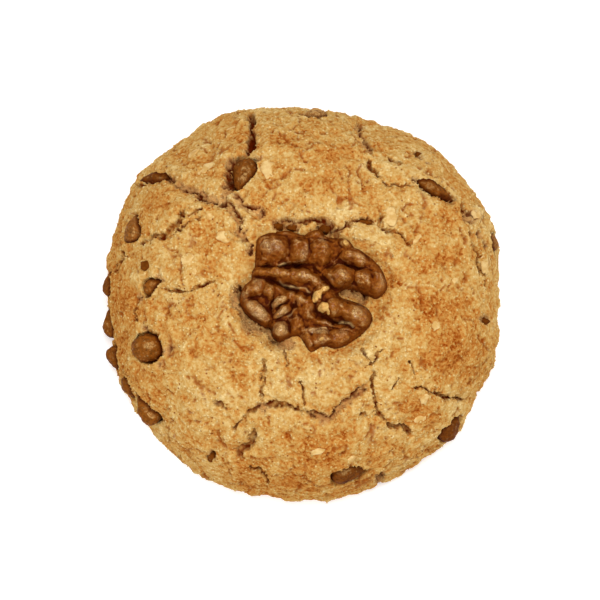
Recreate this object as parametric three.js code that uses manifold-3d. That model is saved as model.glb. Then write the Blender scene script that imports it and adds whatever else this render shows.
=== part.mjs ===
// A thick round nut cookie: a domed, cracked dough with chocolate chips baked into its crust, pale nut flakes
// on it and one walnut half pressed into its top.
// Millimetres, +Z up. The origin is the middle of the flat base, and +Y points to the back of the cookie.
import * as THREE from "three";
import { mergeVertices } from "three/addons/utils/BufferGeometryUtils.js";
import Module from "manifold-3d";

const wasm = await Module();
wasm.setup();

// Driving dimensions of the dough
const COOKIE_RADIUS = 39.8;
const COOKIE_HEIGHT = 26;
const WIDEST_HEIGHT = 4;
const FOOT_RADIUS = 38.2;
const CRUST_RINGS = 25;
const LUMP_LENGTH = 24;
const LUMP_HEIGHT = 0.5;
const CRAG_LENGTH = 8;
const CRAG_HEIGHT = 0.22;
const WAVES = 7;
const RELIEF_FADES = [0.62, 0.9];

// The gap that pieces seated in the dough keep all round
const FIT_GAP = 0.3;

// The side view of the dough: distance from the axis and height, from the crown out and down to the foot
const PROFILE = new THREE.SplineCurve([
  new THREE.Vector2(0, COOKIE_HEIGHT),
  new THREE.Vector2(0.33 * COOKIE_RADIUS, 0.975 * COOKIE_HEIGHT),
  new THREE.Vector2(0.6 * COOKIE_RADIUS, 0.88 * COOKIE_HEIGHT),
  new THREE.Vector2(0.8 * COOKIE_RADIUS, 0.71 * COOKIE_HEIGHT),
  new THREE.Vector2(0.94 * COOKIE_RADIUS, 0.46 * COOKIE_HEIGHT),
  new THREE.Vector2(COOKIE_RADIUS, WIDEST_HEIGHT),
  new THREE.Vector2(0.99 * COOKIE_RADIUS, 0.3 * WIDEST_HEIGHT),
  new THREE.Vector2(FOOT_RADIUS, 0),
]);

// Where the outline swells out or draws in: the direction in degrees from +X, how far, and over what spread
const OUTLINE_SWELLS = [
  { at: 23, reach: 2.5, spread: 13 },
  { at: 48, reach: 2.0, spread: 15 },
  { at: 112, reach: 1.9, spread: 14 },
  { at: 141, reach: 2.0, spread: 14 },
  { at: 188, reach: -1.5, spread: 14 },
  { at: 222, reach: -0.8, spread: 8 },
  { at: 260, reach: -0.5, spread: 10 },
  { at: 320, reach: 1.2, spread: 7 },
  { at: 345, reach: 1.1, spread: 9 },
];

// Cracks of the crust: corner points seen from above, the opening's width and the depth
const CRACKS = [
  { path: [[-9.3, 37], [-9.8, 31.5], [-10.5, 27.5], [-12.5, 23.5]], width: 2.6, depth: 2.8 },
  { path: [[-10.5, 18.5], [-14.5, 18.8], [-19, 19.3], [-23.5, 21.6], [-28.4, 23.6]], width: 2.4, depth: 2.6 },
  { path: [[-14.5, 18.4], [-12, 15.6], [-7.4, 13.8], [-3, 14.5]], width: 2.0, depth: 1.8 },
  { path: [[-33.4, 9.4], [-30, 11.4], [-26.5, 13.8], [-23.2, 16.3]], width: 1.6, depth: 1.5 },
  { path: [[-27.4, 0.4], [-23.8, 0], [-20.4, 0.6], [-15.1, 1.9]], width: 1.0, depth: 1.2 },
  {
    path: [[-13, -27.1], [-10.1, -23.8], [-6, -22.6], [0, -23.6], [4.8, -25], [9.5, -21.7], [12.6, -17]],
    width: 1.8,
    depth: 2.2,
  },
  { path: [[14.2, -18.4], [14.8, -22], [18.2, -26.3], [22, -26.9]], width: 1.4, depth: 1.6 },
  { path: [[22.4, -18.2], [27.1, -19.7], [31.1, -20.7], [34.3, -19.6]], width: 1.6, depth: 1.7 },
  { path: [[11.6, 34.8], [12.5, 30.6], [14, 27.5], [15.7, 23]], width: 1.6, depth: 1.7 },
  { path: [[19.5, 22.3], [24, 21], [28, 20.3], [31.5, 19.4]], width: 2.2, depth: 2.4 },
  { path: [[2.5, 15.6], [7.4, 12.6], [12, 13.8], [16, 12.9], [22.9, 8.7]], width: 1.5, depth: 1.8 },
  { path: [[33.2, 18.4], [33.2, 14.5], [34.4, 10.5], [35.6, 6.2]], width: 1.5, depth: 1.5 },
  { path: [[-9, -28.9], [-11.7, -31.6], [-17.5, -31.3]], width: 1.6, depth: 1.6 },
  { path: [[-32.6, 0.5], [-32.2, -3], [-31.4, -6.2]], width: 1.0, depth: 1.2 },
];
const CRACK_STATION = 2.8;
const CRACK_RISE = 1.6;
const CRACK_END_SHARE = 0.18;

// Chocolate chips: place seen from above, length and width of the drop, the way its tip points in degrees
// from +X (null stands it tip outwards), how proud it stands (1 has its middle on the crust, -1 sinks it) and
// how far it leans from the crust's outward direction to straight up (not at all if not given)
const CHIPS = [
  { at: [-11.2, 23.8], length: 7.6, width: 5.4, tip: 258, proud: -0.3 },
  { at: [-30.2, -10.4], length: 3.8, width: 6.8, tip: null, proud: 0.4, lean: 0.8 },
  { at: [-30.4, -22.1], length: 7.2, width: 5.0, tip: 118, proud: 0.7 },
  { at: [-33.3, 13.8], length: 6.6, width: 4.6, tip: 95, proud: 0.2 },
  { at: [-29.6, 1.6], length: 4.6, width: 4.0, tip: 20, proud: -0.4 },
  { at: [-38.5, 3.9], length: 6.0, width: 4.2, tip: 85, proud: 0.3 },
  { at: [-38.4, -4.2], length: 6.4, width: 4.4, tip: 95, proud: 0.8 },
  { at: [-37.1, -11.0], length: 5.4, width: 4.4, tip: 280, proud: 0.8 },
  { at: [-34.4, -17.6], length: 5.6, width: 4.6, tip: 300, proud: 0.0 },
  { at: [30.2, -26.0], length: 7.0, width: 6.0, tip: 50, proud: 0.1 },
  { at: [26.8, 21.6], length: 9.0, width: 3.8, tip: 335, proud: -0.5, lean: 0.3 },
  { at: [9.8, -35.4], length: 8.2, width: 6.0, tip: 10, proud: -0.5 },
  { at: [-29.6, 24.4], length: 8.0, width: 3.4, tip: 182, proud: -0.4, lean: 0.5 },
  { at: [2.6, 37.2], length: 6.2, width: 4.2, tip: 185, proud: -0.1 },
  { at: [39.0, 12.4], length: 4.6, width: 4.0, tip: 105, proud: 0.0 },
];
const CHIP_SIDES = 10;
const UPWARDS = new THREE.Vector3(0, 0, 1);
// The drop's side view as shares of its length: distance from the axis (of half the width) and height
const DROP_PROFILE = [[0, -0.45], [0.72, -0.42], [1, -0.16], [0.84, 0.12], [0.46, 0.38], [0, 0.55]];

// Nut flakes that lie in the crust: place seen from above, length, width and heading in degrees
const FLAKES = [
  { at: [-18.8, 25.1], length: 5.0, width: 2.8, heading: 20 },
  { at: [-16.0, 10.4], length: 3.6, width: 3.0, heading: -10 },
  { at: [-17.6, 14.8], length: 2.8, width: 1.8, heading: 15 },
  { at: [12.1, 10.9], length: 3.6, width: 1.8, heading: -8 },
  { at: [20.4, 15.4], length: 4.2, width: 3.4, heading: 70 },
  { at: [36.6, 13.0], length: 4.6, width: 3.6, heading: 100 },
  { at: [37.3, 3.8], length: 5.2, width: 2.8, heading: 100 },
  { at: [-5.6, 24.0], length: 5.0, width: 4.4, heading: 60 },
  { at: [-22.0, 6.4], length: 3.4, width: 2.8, heading: 40 },
  { at: [23.6, -24.4], length: 2.6, width: 2.2, heading: 0 },
  { at: [3.4, -31.0], length: 3.0, width: 1.2, heading: 28 },
  { at: [26.5, -6.5], length: 2.8, width: 2.2, heading: 50 },
];
const FLAKE_SIDES = 8;
const FLAKE_THICKNESS = 1.2;
const FLAKE_SHOWS = 0.4;

// The walnut half: where its middle sits, and its lobes as chains of knobs (x, y, z from there, and radius)
const WALNUT_PLACE = new THREE.Vector3(2.4, -0.8, 23.4);
const WALNUT_BED = { radii: [12, 9.6], rise: 2.4, rim: -0.6 };
const WALNUT_LOBES = {
  upper: [
    [-8.5, 8.2, 1.9, 2.7], [-5.4, 8.6, 2.4, 2.5], [-1.8, 8.5, 2.7, 2.8], [1.6, 8.2, 2.6, 2.4],
    [4.8, 7.2, 2.4, 2.5], [8.0, 6.4, 1.9, 2.2], [10.6, 4.8, 1.4, 2.2], [12.4, 2.4, 0.9, 1.8],
  ],
  inner_right: [
    [3.4, 3.3, 2.4, 1.5], [5.5, 3.7, 2.9, 2.1], [8.1, 2.6, 2.6, 1.9], [10.5, 1.5, 1.9, 2.1],
    [12.3, 0.1, 1.2, 1.6],
  ],
  seam: [
    [-11.0, 4.3, 1.0, 0.9], [-8.0, 4.1, 1.7, 1.1], [-4.8, 3.6, 2.4, 1.2], [-2.0, 3.0, 2.9, 1.6],
    [0.4, 1.9, 3.2, 1.6], [1.8, 0.3, 3.1, 1.4], [1.9, -2.0, 2.9, 1.3],
  ],
  lower_right: [
    [2.6, -2.9, 2.7, 1.7], [4.7, -2.9, 2.8, 2.0], [7.1, -3.3, 2.4, 2.0], [9.2, -4.4, 1.7, 2.1],
    [9.9, -5.6, 1.3, 1.8],
  ],
  shelf: [
    [0.7, -5.1, 2.4, 1.7], [3.2, -5.8, 2.2, 1.5], [6.0, -6.3, 1.7, 1.3],
  ],
  bottom: [
    [-0.9, -9.1, 0.9, 1.9], [1.4, -8.5, 1.5, 2.1], [4.1, -8.0, 1.7, 2.0], [6.6, -7.8, 1.3, 1.8],
    [8.4, -7.2, 1.0, 1.4],
  ],
  left_edge: [
    [-10.2, 1.3, 1.5, 2.2], [-11.7, -1.3, 1.2, 2.1], [-11.0, -3.6, 1.1, 2.3], [-9.4, -5.2, 1.2, 1.9],
  ],
  left_fold: [
    [-8.4, 0.6, 2.3, 2.0], [-6.9, -1.4, 2.6, 2.1], [-6.2, -3.2, 2.3, 2.0], [-7.5, -4.6, 1.7, 1.7],
  ],
  middle_fold: [
    [-4.8, 0.4, 2.7, 1.7], [-2.4, -0.8, 3.0, 1.9], [-1.2, -3.1, 2.9, 2.0], [-2.0, -5.2, 2.2, 1.8],
  ],
  lower_left: [
    [-6.4, -7.0, 1.1, 1.9], [-4.6, -7.1, 1.3, 1.8], [-3.4, -5.8, 1.9, 1.7],
  ],
};
const WALNUT_RINGS = 20;
const BEADS_PER_SPAN = 5;
const WALNUT_EDGE = 0.985;
const WALNUT_KEEL = { share: 0.78, depth: -1.5 };
const WALNUT_UNDERSIDE = -2.4;
const SEAT_MOUTH = 8;

// The dish that the walnut was pressed into
const DISH_RADII = [17, 15];
const DISH_DEPTH = 1.5;
const DISH_FLAT = 0.72;

const doughCrust = new THREE.MeshStandardMaterial({ color: 0xc98f4c, roughness: 0.85, metalness: 0 });
const walnutSkin = new THREE.MeshStandardMaterial({ color: 0x854f21, roughness: 0.4, metalness: 0 });
const milkChocolate = new THREE.MeshStandardMaterial({ color: 0x8c5726, roughness: 0.5, metalness: 0 });

// Uneven relief seen from above: waves of different headings and lengths laid over each other
function waves(x, y, length, height) {
  let sum = 0;
  for (let i = 0; i < WAVES; i++) {
    const heading = 2.4 * i;
    const along = x * Math.cos(heading) + y * Math.sin(heading);
    sum += Math.sin((2 * Math.PI * along) / (length * (1 + 0.13 * i)) + 1.7 * i * i);
  }
  return (height * sum) / Math.sqrt(WAVES);
}

// How far the outline stands out of the plain circle in a direction, in radians
function swell(angle) {
  let sum = 0;
  for (const { at, reach, spread } of OUTLINE_SWELLS) {
    const away = THREE.MathUtils.radToDeg(angle) - at;
    const turned = THREE.MathUtils.euclideanModulo(away + 180, 360) - 180;
    sum += reach * Math.exp(-((turned / spread) ** 2));
  }
  return sum;
}

// A point of the plain crust: how far along the side view (0 at the crown, 1 at the foot) and the direction
function plainCrust(along, angle) {
  const side = PROFILE.getPointAt(along);
  const share = side.x / COOKIE_RADIUS;
  const radius = side.x + swell(angle) * share ** 3;
  return new THREE.Vector3(radius * Math.cos(angle), radius * Math.sin(angle), side.y);
}

// The outward direction of the plain crust there
function crustNormal(along, angle) {
  const slope = PROFILE.getTangentAt(along);
  return new THREE.Vector3(-slope.y * Math.cos(angle), -slope.y * Math.sin(angle), slope.x).normalize();
}

// How deep the walnut's dish is at a point seen from above
function dish(x, y) {
  const out = Math.hypot((x - WALNUT_PLACE.x) / DISH_RADII[0], (y - WALNUT_PLACE.y) / DISH_RADII[1]);
  return DISH_DEPTH * (1 - THREE.MathUtils.smoothstep(out, DISH_FLAT, 1));
}

// The crust with its lumps and crags, which fade out towards the foot
function crust(along, angle) {
  const point = plainCrust(along, angle);
  const fade = 1 - THREE.MathUtils.smoothstep(along, RELIEF_FADES[0], RELIEF_FADES[1]);
  const lump = waves(point.x, point.y, LUMP_LENGTH, LUMP_HEIGHT);
  const crag = waves(point.x, point.y, CRAG_LENGTH, CRAG_HEIGHT);
  const raised = point.clone().addScaledVector(crustNormal(along, angle), fade * (lump + crag));
  raised.z -= dish(point.x, point.y);
  return raised;
}

// How far along the side view the crust lies above a point seen from above
function alongAt(x, y) {
  const angle = Math.atan2(y, x);
  let low = 0;
  let high = 1;
  for (let step = 0; step < 30; step++) {
    const middle = (low + high) / 2;
    const reach = plainCrust(middle, angle);
    const pastWidest = reach.z < WIDEST_HEIGHT;
    if (pastWidest || Math.hypot(reach.x, reach.y) > Math.hypot(x, y)) high = middle;
    else low = middle;
  }
  return low;
}

// The crust's point and outward direction above a point seen from above
function crustAt([x, y]) {
  const along = alongAt(x, y);
  const angle = Math.atan2(y, x);
  return { point: crust(along, angle), normal: crustNormal(along, angle) };
}

// A closed geometry as a solid
function solidOf(geometry) {
  const bare = geometry.clone();
  bare.deleteAttribute("normal");
  bare.deleteAttribute("uv");
  const merged = mergeVertices(bare, 1e-4);
  const vertProperties = merged.attributes.position.array;
  const triVerts = new Uint32Array(merged.index.array);
  return new wasm.Manifold(new wasm.Mesh({ numProp: 3, vertProperties, triVerts }));
}

// A solid as a geometry
function geometryOf(solid) {
  const mesh = solid.getMesh();
  const geometry = new THREE.BufferGeometry();
  geometry.setAttribute("position", new THREE.BufferAttribute(mesh.vertProperties.slice(), 3));
  geometry.setIndex(new THREE.BufferAttribute(mesh.triVerts.slice(), 1));
  geometry.computeVertexNormals();
  return geometry;
}

// A geometry from points and triangles of point numbers
function geometryFrom(points, triangles) {
  const geometry = new THREE.BufferGeometry().setFromPoints(points);
  geometry.setIndex(triangles.flat());
  return geometry;
}

// A closed body: rings of 6, 12, 18 and more points spread from the middle of its top out to the rim,
// and rings as long as the rim draw in below to the middle of its underside
function ringedBody(rings, top, under, bottom) {
  const points = [top(0, 0)];
  const triangles = [];
  const ringStart = (ring) => 1 + 3 * ring * (ring - 1);
  for (let ring = 1; ring <= rings; ring++) {
    const outer = (i) => ringStart(ring) + (i % (6 * ring));
    const inner = (i) => (ring === 1 ? 0 : ringStart(ring - 1) + (i % (6 * (ring - 1))));
    for (let i = 0; i < 6 * ring; i++) points.push(top(ring / rings, (2 * Math.PI * i) / (6 * ring)));
    for (let sector = 0; sector < 6; sector++) {
      for (let i = 0; i < ring; i++) {
        const out = sector * ring + i;
        const back = sector * (ring - 1) + i;
        triangles.push([outer(out), outer(out + 1), inner(back)]);
        if (i < ring - 1) triangles.push([inner(back), outer(out + 1), inner(back + 1)]);
      }
    }
  }
  const count = 6 * rings;
  let rim = ringStart(rings);
  for (const below of under) {
    const start = points.length;
    for (let i = 0; i < count; i++) {
      const next = (i + 1) % count;
      points.push(below((2 * Math.PI * i) / count));
      triangles.push([rim + i, start + i, start + next], [rim + i, start + next, rim + next]);
    }
    rim = start;
  }
  const middle = points.push(bottom) - 1;
  for (let i = 0; i < count; i++) triangles.push([rim + i, middle, rim + ((i + 1) % count)]);
  return geometryFrom(points, triangles);
}

// The wedge that opens one crack: a keel under the crust, two edges above it, drawn out thin at both ends
function crackWedge({ path, width, depth }) {
  const route = new THREE.CatmullRomCurve3(path.map((place) => crustAt(place).point));
  const stations = Math.ceil(route.getLength() / CRACK_STATION);
  const points = [];
  const triangles = [];
  for (let i = 0; i <= stations; i++) {
    const centre = route.getPointAt(i / stations);
    const { normal } = crustAt([centre.x, centre.y]);
    const across = route.getTangentAt(i / stations).cross(normal).normalize();
    const swellShare = Math.max(CRACK_END_SHARE, Math.sin((Math.PI * i) / stations) ** 0.5);
    const half = (width / 2) * swellShare * (1 + CRACK_RISE / depth);
    const top = centre.clone().addScaledVector(normal, CRACK_RISE);
    points.push(top.clone().addScaledVector(across, -half), top.clone().addScaledVector(across, half));
    points.push(centre.clone().addScaledVector(normal, -depth * swellShare));
    if (i === 0) continue;
    const [a, b] = [3 * (i - 1), 3 * i];
    for (let edge = 0; edge < 3; edge++) {
      const next = (edge + 1) % 3;
      triangles.push([a + edge, a + next, b + edge], [a + next, b + next, b + edge]);
    }
  }
  const last = 3 * stations;
  triangles.push([0, 2, 1], [last, last + 1, last + 2]);
  return geometryFrom(points, triangles);
}

// Turns a frame so that its Z follows the crust's outward direction, or leans up from it, and its X a heading
function layOnCrust(place, heading, lean = 0) {
  const { point, normal } = crustAt(place);
  normal.lerp(UPWARDS, lean).normalize();
  const turn = THREE.MathUtils.degToRad(heading);
  const wanted = new THREE.Vector3(Math.cos(turn), Math.sin(turn), 0);
  const forward = wanted.addScaledVector(normal, -wanted.dot(normal)).normalize();
  const sideways = normal.clone().cross(forward);
  const matrix = new THREE.Matrix4().makeBasis(forward, sideways, normal);
  return { point, normal, turned: new THREE.Quaternion().setFromRotationMatrix(matrix) };
}

// A chocolate drop about its own middle, grown by an allowance: its axis runs along Y
function dropGeometry({ length, width }, allowance) {
  const half = width / 2 + allowance;
  const tall = length + 2 * allowance;
  const side = DROP_PROFILE.map(([out, up]) => new THREE.Vector2(out * half, up * tall));
  return new THREE.LatheGeometry(side, CHIP_SIDES);
}

// Places a drop, or the pocket for it, in the crust
function placeChip(object, chip) {
  const { point, normal, turned } = layOnCrust(chip.at, chip.tip ?? 0, chip.lean);
  const sunk = (chip.width / 2) * (chip.proud - 1) * 0.5;
  object.position.copy(point).addScaledVector(normal, sunk);
  const lying = new THREE.Quaternion().setFromEuler(new THREE.Euler(0, 0, -Math.PI / 2));
  const standing = new THREE.Quaternion().setFromEuler(new THREE.Euler(Math.PI / 2, 0, 0));
  object.quaternion.copy(turned).multiply(chip.tip === null ? standing : lying);
  object.updateMatrix();
  return object;
}

function chipMesh(chip, index) {
  const mesh = new THREE.Mesh(dropGeometry(chip, 0), milkChocolate);
  mesh.name = `chip_${String(index + 1).padStart(2, "0")}`;
  return placeChip(mesh, chip);
}

function chipPocket(chip) {
  const holder = placeChip(new THREE.Object3D(), chip);
  return solidOf(dropGeometry(chip, FIT_GAP).applyMatrix4(holder.matrix));
}

// A nut flake: a low slab with many sides, most of it under the crust
function flakeSolid({ at, length, width, heading }) {
  const slab = new THREE.CylinderGeometry(0.42, 0.5, FLAKE_THICKNESS, FLAKE_SIDES);
  slab.rotateX(Math.PI / 2);
  slab.scale(length, width, 1);
  const { point, normal, turned } = layOnCrust(at, heading);
  const centre = point.clone().addScaledVector(normal, FLAKE_SHOWS - FLAKE_THICKNESS / 2);
  return solidOf(slab.applyQuaternion(turned).translate(centre.x, centre.y, centre.z));
}

// A lobe of the walnut as close-set round beads that follow its knobs
function lobeBeads(knobs) {
  const route = new THREE.CatmullRomCurve3(knobs.map(([x, y, z]) => new THREE.Vector3(x, y, z)));
  const spans = knobs.length - 1;
  const beads = [];
  for (let i = 0; i <= spans * BEADS_PER_SPAN; i++) {
    const share = i / (spans * BEADS_PER_SPAN);
    const knob = Math.min(Math.floor(share * spans), spans - 1);
    const radius = THREE.MathUtils.lerp(knobs[knob][3], knobs[knob + 1][3], share * spans - knob);
    beads.push({ centre: route.getPoint(share), radius });
  }
  return beads;
}

const walnutBeads = Object.values(WALNUT_LOBES).flatMap(lobeBeads);

// How far the walnut reaches from its middle in a direction
function walnutReach(angle) {
  const ahead = new THREE.Vector3(Math.cos(angle), Math.sin(angle), 0);
  let reach = 0;
  for (const { centre, radius } of walnutBeads) {
    const along = centre.dot(ahead);
    const aside = Math.hypot(centre.x - along * ahead.x, centre.y - along * ahead.y);
    if (aside < radius) reach = Math.max(reach, along + Math.sqrt(radius ** 2 - aside ** 2));
  }
  return reach;
}

// The height of the walnut's skin: its lobes, and the bed between them
function walnutHeight(x, y) {
  const out = Math.min(1, Math.hypot(x / WALNUT_BED.radii[0], y / WALNUT_BED.radii[1]));
  let height = THREE.MathUtils.lerp(WALNUT_BED.rise, WALNUT_BED.rim, out ** 2);
  for (const { centre, radius } of walnutBeads) {
    const aside = Math.hypot(x - centre.x, y - centre.y);
    if (aside < radius) height = Math.max(height, centre.z + Math.sqrt(radius ** 2 - aside ** 2));
  }
  return height;
}

function polar(reach, angle, z) {
  return new THREE.Vector3(reach * Math.cos(angle), reach * Math.sin(angle), z);
}

function walnutTop(share, angle) {
  const reach = share * walnutReach(angle);
  const inside = WALNUT_EDGE * reach;
  return polar(reach, angle, walnutHeight(inside * Math.cos(angle), inside * Math.sin(angle)));
}

// The walnut half: its lobed top and a keel below that lies in the dough
function walnutGeometry() {
  const keel = (angle) => polar(WALNUT_KEEL.share * walnutReach(angle), angle, WALNUT_KEEL.depth);
  return ringedBody(WALNUT_RINGS, walnutTop, [keel], new THREE.Vector3(0, 0, WALNUT_UNDERSIDE));
}

// The hollow in the dough that the walnut sits in: its outline and keel grown by the gap, open at the top
function walnutSeat() {
  const wall = 2 * FIT_GAP;
  const mouth = (share, angle) => polar(share * (walnutReach(angle) + wall), angle, SEAT_MOUTH);
  const sill = (angle) => polar(walnutReach(angle) + wall, angle, 0);
  const deep = WALNUT_KEEL.depth - FIT_GAP;
  const keel = (angle) => polar(WALNUT_KEEL.share * walnutReach(angle) + wall, angle, deep);
  const floor = new THREE.Vector3(0, 0, WALNUT_UNDERSIDE - FIT_GAP);
  return solidOf(ringedBody(WALNUT_RINGS, mouth, [sill, keel], floor)).translate(WALNUT_PLACE.toArray());
}

function walnutMesh() {
  const mesh = new THREE.Mesh(walnutGeometry(), walnutSkin);
  mesh.name = "walnut_half";
  mesh.position.copy(WALNUT_PLACE);
  return mesh;
}

// The dough: the blank with its flakes fused on, then cracked and cut out for the chips and the walnut
function doughMesh() {
  let dough = solidOf(ringedBody(CRUST_RINGS, crust, [], new THREE.Vector3(0, 0, 0)));
  for (const flake of FLAKES) dough = dough.add(flakeSolid(flake));
  for (const crack of CRACKS) dough = dough.subtract(solidOf(crackWedge(crack)));
  for (const chip of CHIPS) dough = dough.subtract(chipPocket(chip));
  const mesh = new THREE.Mesh(geometryOf(dough.subtract(walnutSeat())), doughCrust);
  mesh.name = "dough";
  return mesh;
}

const cookie = new THREE.Group();
cookie.add(doughMesh(), walnutMesh(), ...CHIPS.map(chipMesh));

export default cookie;
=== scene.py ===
"""Dresses the nut cookie: cracked golden dough, a walnut half, chocolate chips, nut flakes and crumbs."""

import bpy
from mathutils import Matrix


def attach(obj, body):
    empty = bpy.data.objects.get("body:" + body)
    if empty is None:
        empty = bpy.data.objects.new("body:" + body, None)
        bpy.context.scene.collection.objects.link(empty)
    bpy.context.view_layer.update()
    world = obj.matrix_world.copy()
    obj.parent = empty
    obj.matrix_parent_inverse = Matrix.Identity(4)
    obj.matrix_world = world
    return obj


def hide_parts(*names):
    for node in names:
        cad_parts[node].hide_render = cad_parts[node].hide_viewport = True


bl_info = {
    "name": "Nut Cookie",
    "version": (1, 0, 0),
    "blender": (4, 5, 0),
    "location": "3D View > Sidebar > Cookie",
    "description": "Builds the dough, the walnut half, the chips, the flakes and the crumbs of a nut cookie",
    "category": "Object",
}

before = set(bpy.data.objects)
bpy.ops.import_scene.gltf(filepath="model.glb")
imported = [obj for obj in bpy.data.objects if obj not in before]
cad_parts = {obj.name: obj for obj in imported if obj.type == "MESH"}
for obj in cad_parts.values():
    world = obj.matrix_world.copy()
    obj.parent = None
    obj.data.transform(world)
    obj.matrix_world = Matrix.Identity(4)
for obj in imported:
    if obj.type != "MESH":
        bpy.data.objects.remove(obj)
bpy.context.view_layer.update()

import math

import bmesh
import bpy
import numpy as np
from mathutils import Vector
from mathutils.bvhtree import BVHTree

MM = 0.001
FAR = 1e9
MERGE_DISTANCE = 1e-6
BODY = "root"

# The dough's side view from the crown to the foot: shares of its radius and its height, then the height where
# it is widest, a share of its radius with a height in millimetres, and the share of its radius at the foot.
PROFILE_SHARES = [(0.0, 1.0), (0.33, 0.975), (0.6, 0.88), (0.8, 0.71), (0.94, 0.46)]
WIDEST_HEIGHT = 4.0
LOW_WALL = (0.99, 1.2)
FOOT_SHARE = 0.96
PROFILE_STEPS = 600

# Swells of the outline: heading in degrees, reach in millimetres and spread in degrees.
OUTLINE_SWELLS = [
    (23, 2.5, 13), (48, 2.0, 15), (112, 1.9, 14), (141, 2.0, 14), (188, -1.5, 14),
    (222, -0.8, 8), (260, -0.5, 10), (320, 1.2, 7), (345, 1.1, 9),
]

# Lumps and crags of the crust: length and height in millimetres, how many waves make them, and the shares
# of the profile between which they fade.
LUMP = (24.0, 0.5)
CRAG = (8.0, 0.22)
WAVES = 7
RELIEF_FADES = (0.62, 0.9)

# Shares of the profile over which the rough wall starts and the relief ends at the foot, the depths of the
# gap round a chip, of the crust's sag beside the walnut and of hairlines, in millimetres, and how many rounds
# of evening out find small and wide hollows.
WALL_STARTS = (0.72, 0.86)
FOOT_FADES = (0.96, 1.0)
MOAT_DEPTH = 1.2
WALNUT_SAG = 0.9
CREASE_DEPTH = 0.4
CRUST_ROUNDS = (6, 40)

# The crust's grid: its rings, the share of the profile past which it isn't made finer, how near the seats
# and the cracks it is, in millimetres, and how far hairlines keep from cracks. Every crack is narrower
# than ANY_WIDTH.
CRUST_RINGS = 126
PLAIN_SHARE = 0.97
WALNUT_SEAT = 1.0
CHIP_SEAT = 4.2
CRACK_MARGIN = 0.7
THIN_MARGIN = 0.3
CREASE_MARGIN = 1.2
THIN_WIDTH = 0.9
ANY_WIDTH = 9.0

# The chips' seats, in millimetres: how far from a chip's middle they reach, how far off rays start, the
# gap under a chip, how thick the crust lies over parts of a chip this near its surface, and how it closes
# beside a slit.
CHIP_REACH = 7.5
RAY_REACH = 9.0
PIT_GAP = 0.25
COVER_THICKNESS = 0.4
COVER_DEPTH = 0.6
SLIT_LAP = 3.0
SLIT_EDGE = 0.4

# The walnut half's place on the dough, and the dish that it lies in.
WALNUT_PLACE = np.array([2.6, -0.55, 23.4])
WALNUT_STRETCH = np.array([1.02, 1.045, 1.0])
DISH_RADII = (17.0, 15.0)
DISH_DEPTH = 1.5
DISH_FLAT = 0.72

# The kernel's outline in plan about its place, in millimetres, and the grooves between its lobes: width,
# depth and path.
WALNUT_OUTLINE = [
    (-11.1, 10.2), (-8.6, 11.7), (-4.7, 12.1), (-1.9, 11.2), (-1.1, 11.8), (1.1, 12.4), (2.1, 11.8),
    (2.7, 10.9), (6.6, 10.5), (8.0, 8.8), (9.2, 8.4), (12.8, 5.4), (14.2, 2.1), (14.0, 0.5), (12.0, -1.0),
    (9.2, 0.3), (6.4, 1.0), (5.0, -0.3), (9.2, -1.7), (11.3, -3.7), (10.8, -6.3), (6.6, -9.6), (4.1, -10.4),
    (1.9, -10.0), (-0.1, -11.2), (-1.3, -10.6), (-3.1, -8.1), (-6.6, -9.0), (-8.2, -7.4), (-8.0, -6.5),
    (-8.4, -6.1), (-9.4, -6.3), (-13.2, -3.5), (-14.3, -0.9), (-13.2, 1.9), (-12.0, 2.7), (-12.0, 4.2),
    (-11.3, 5.5),
]
WALNUT_RING_STEPS = 120
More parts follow.
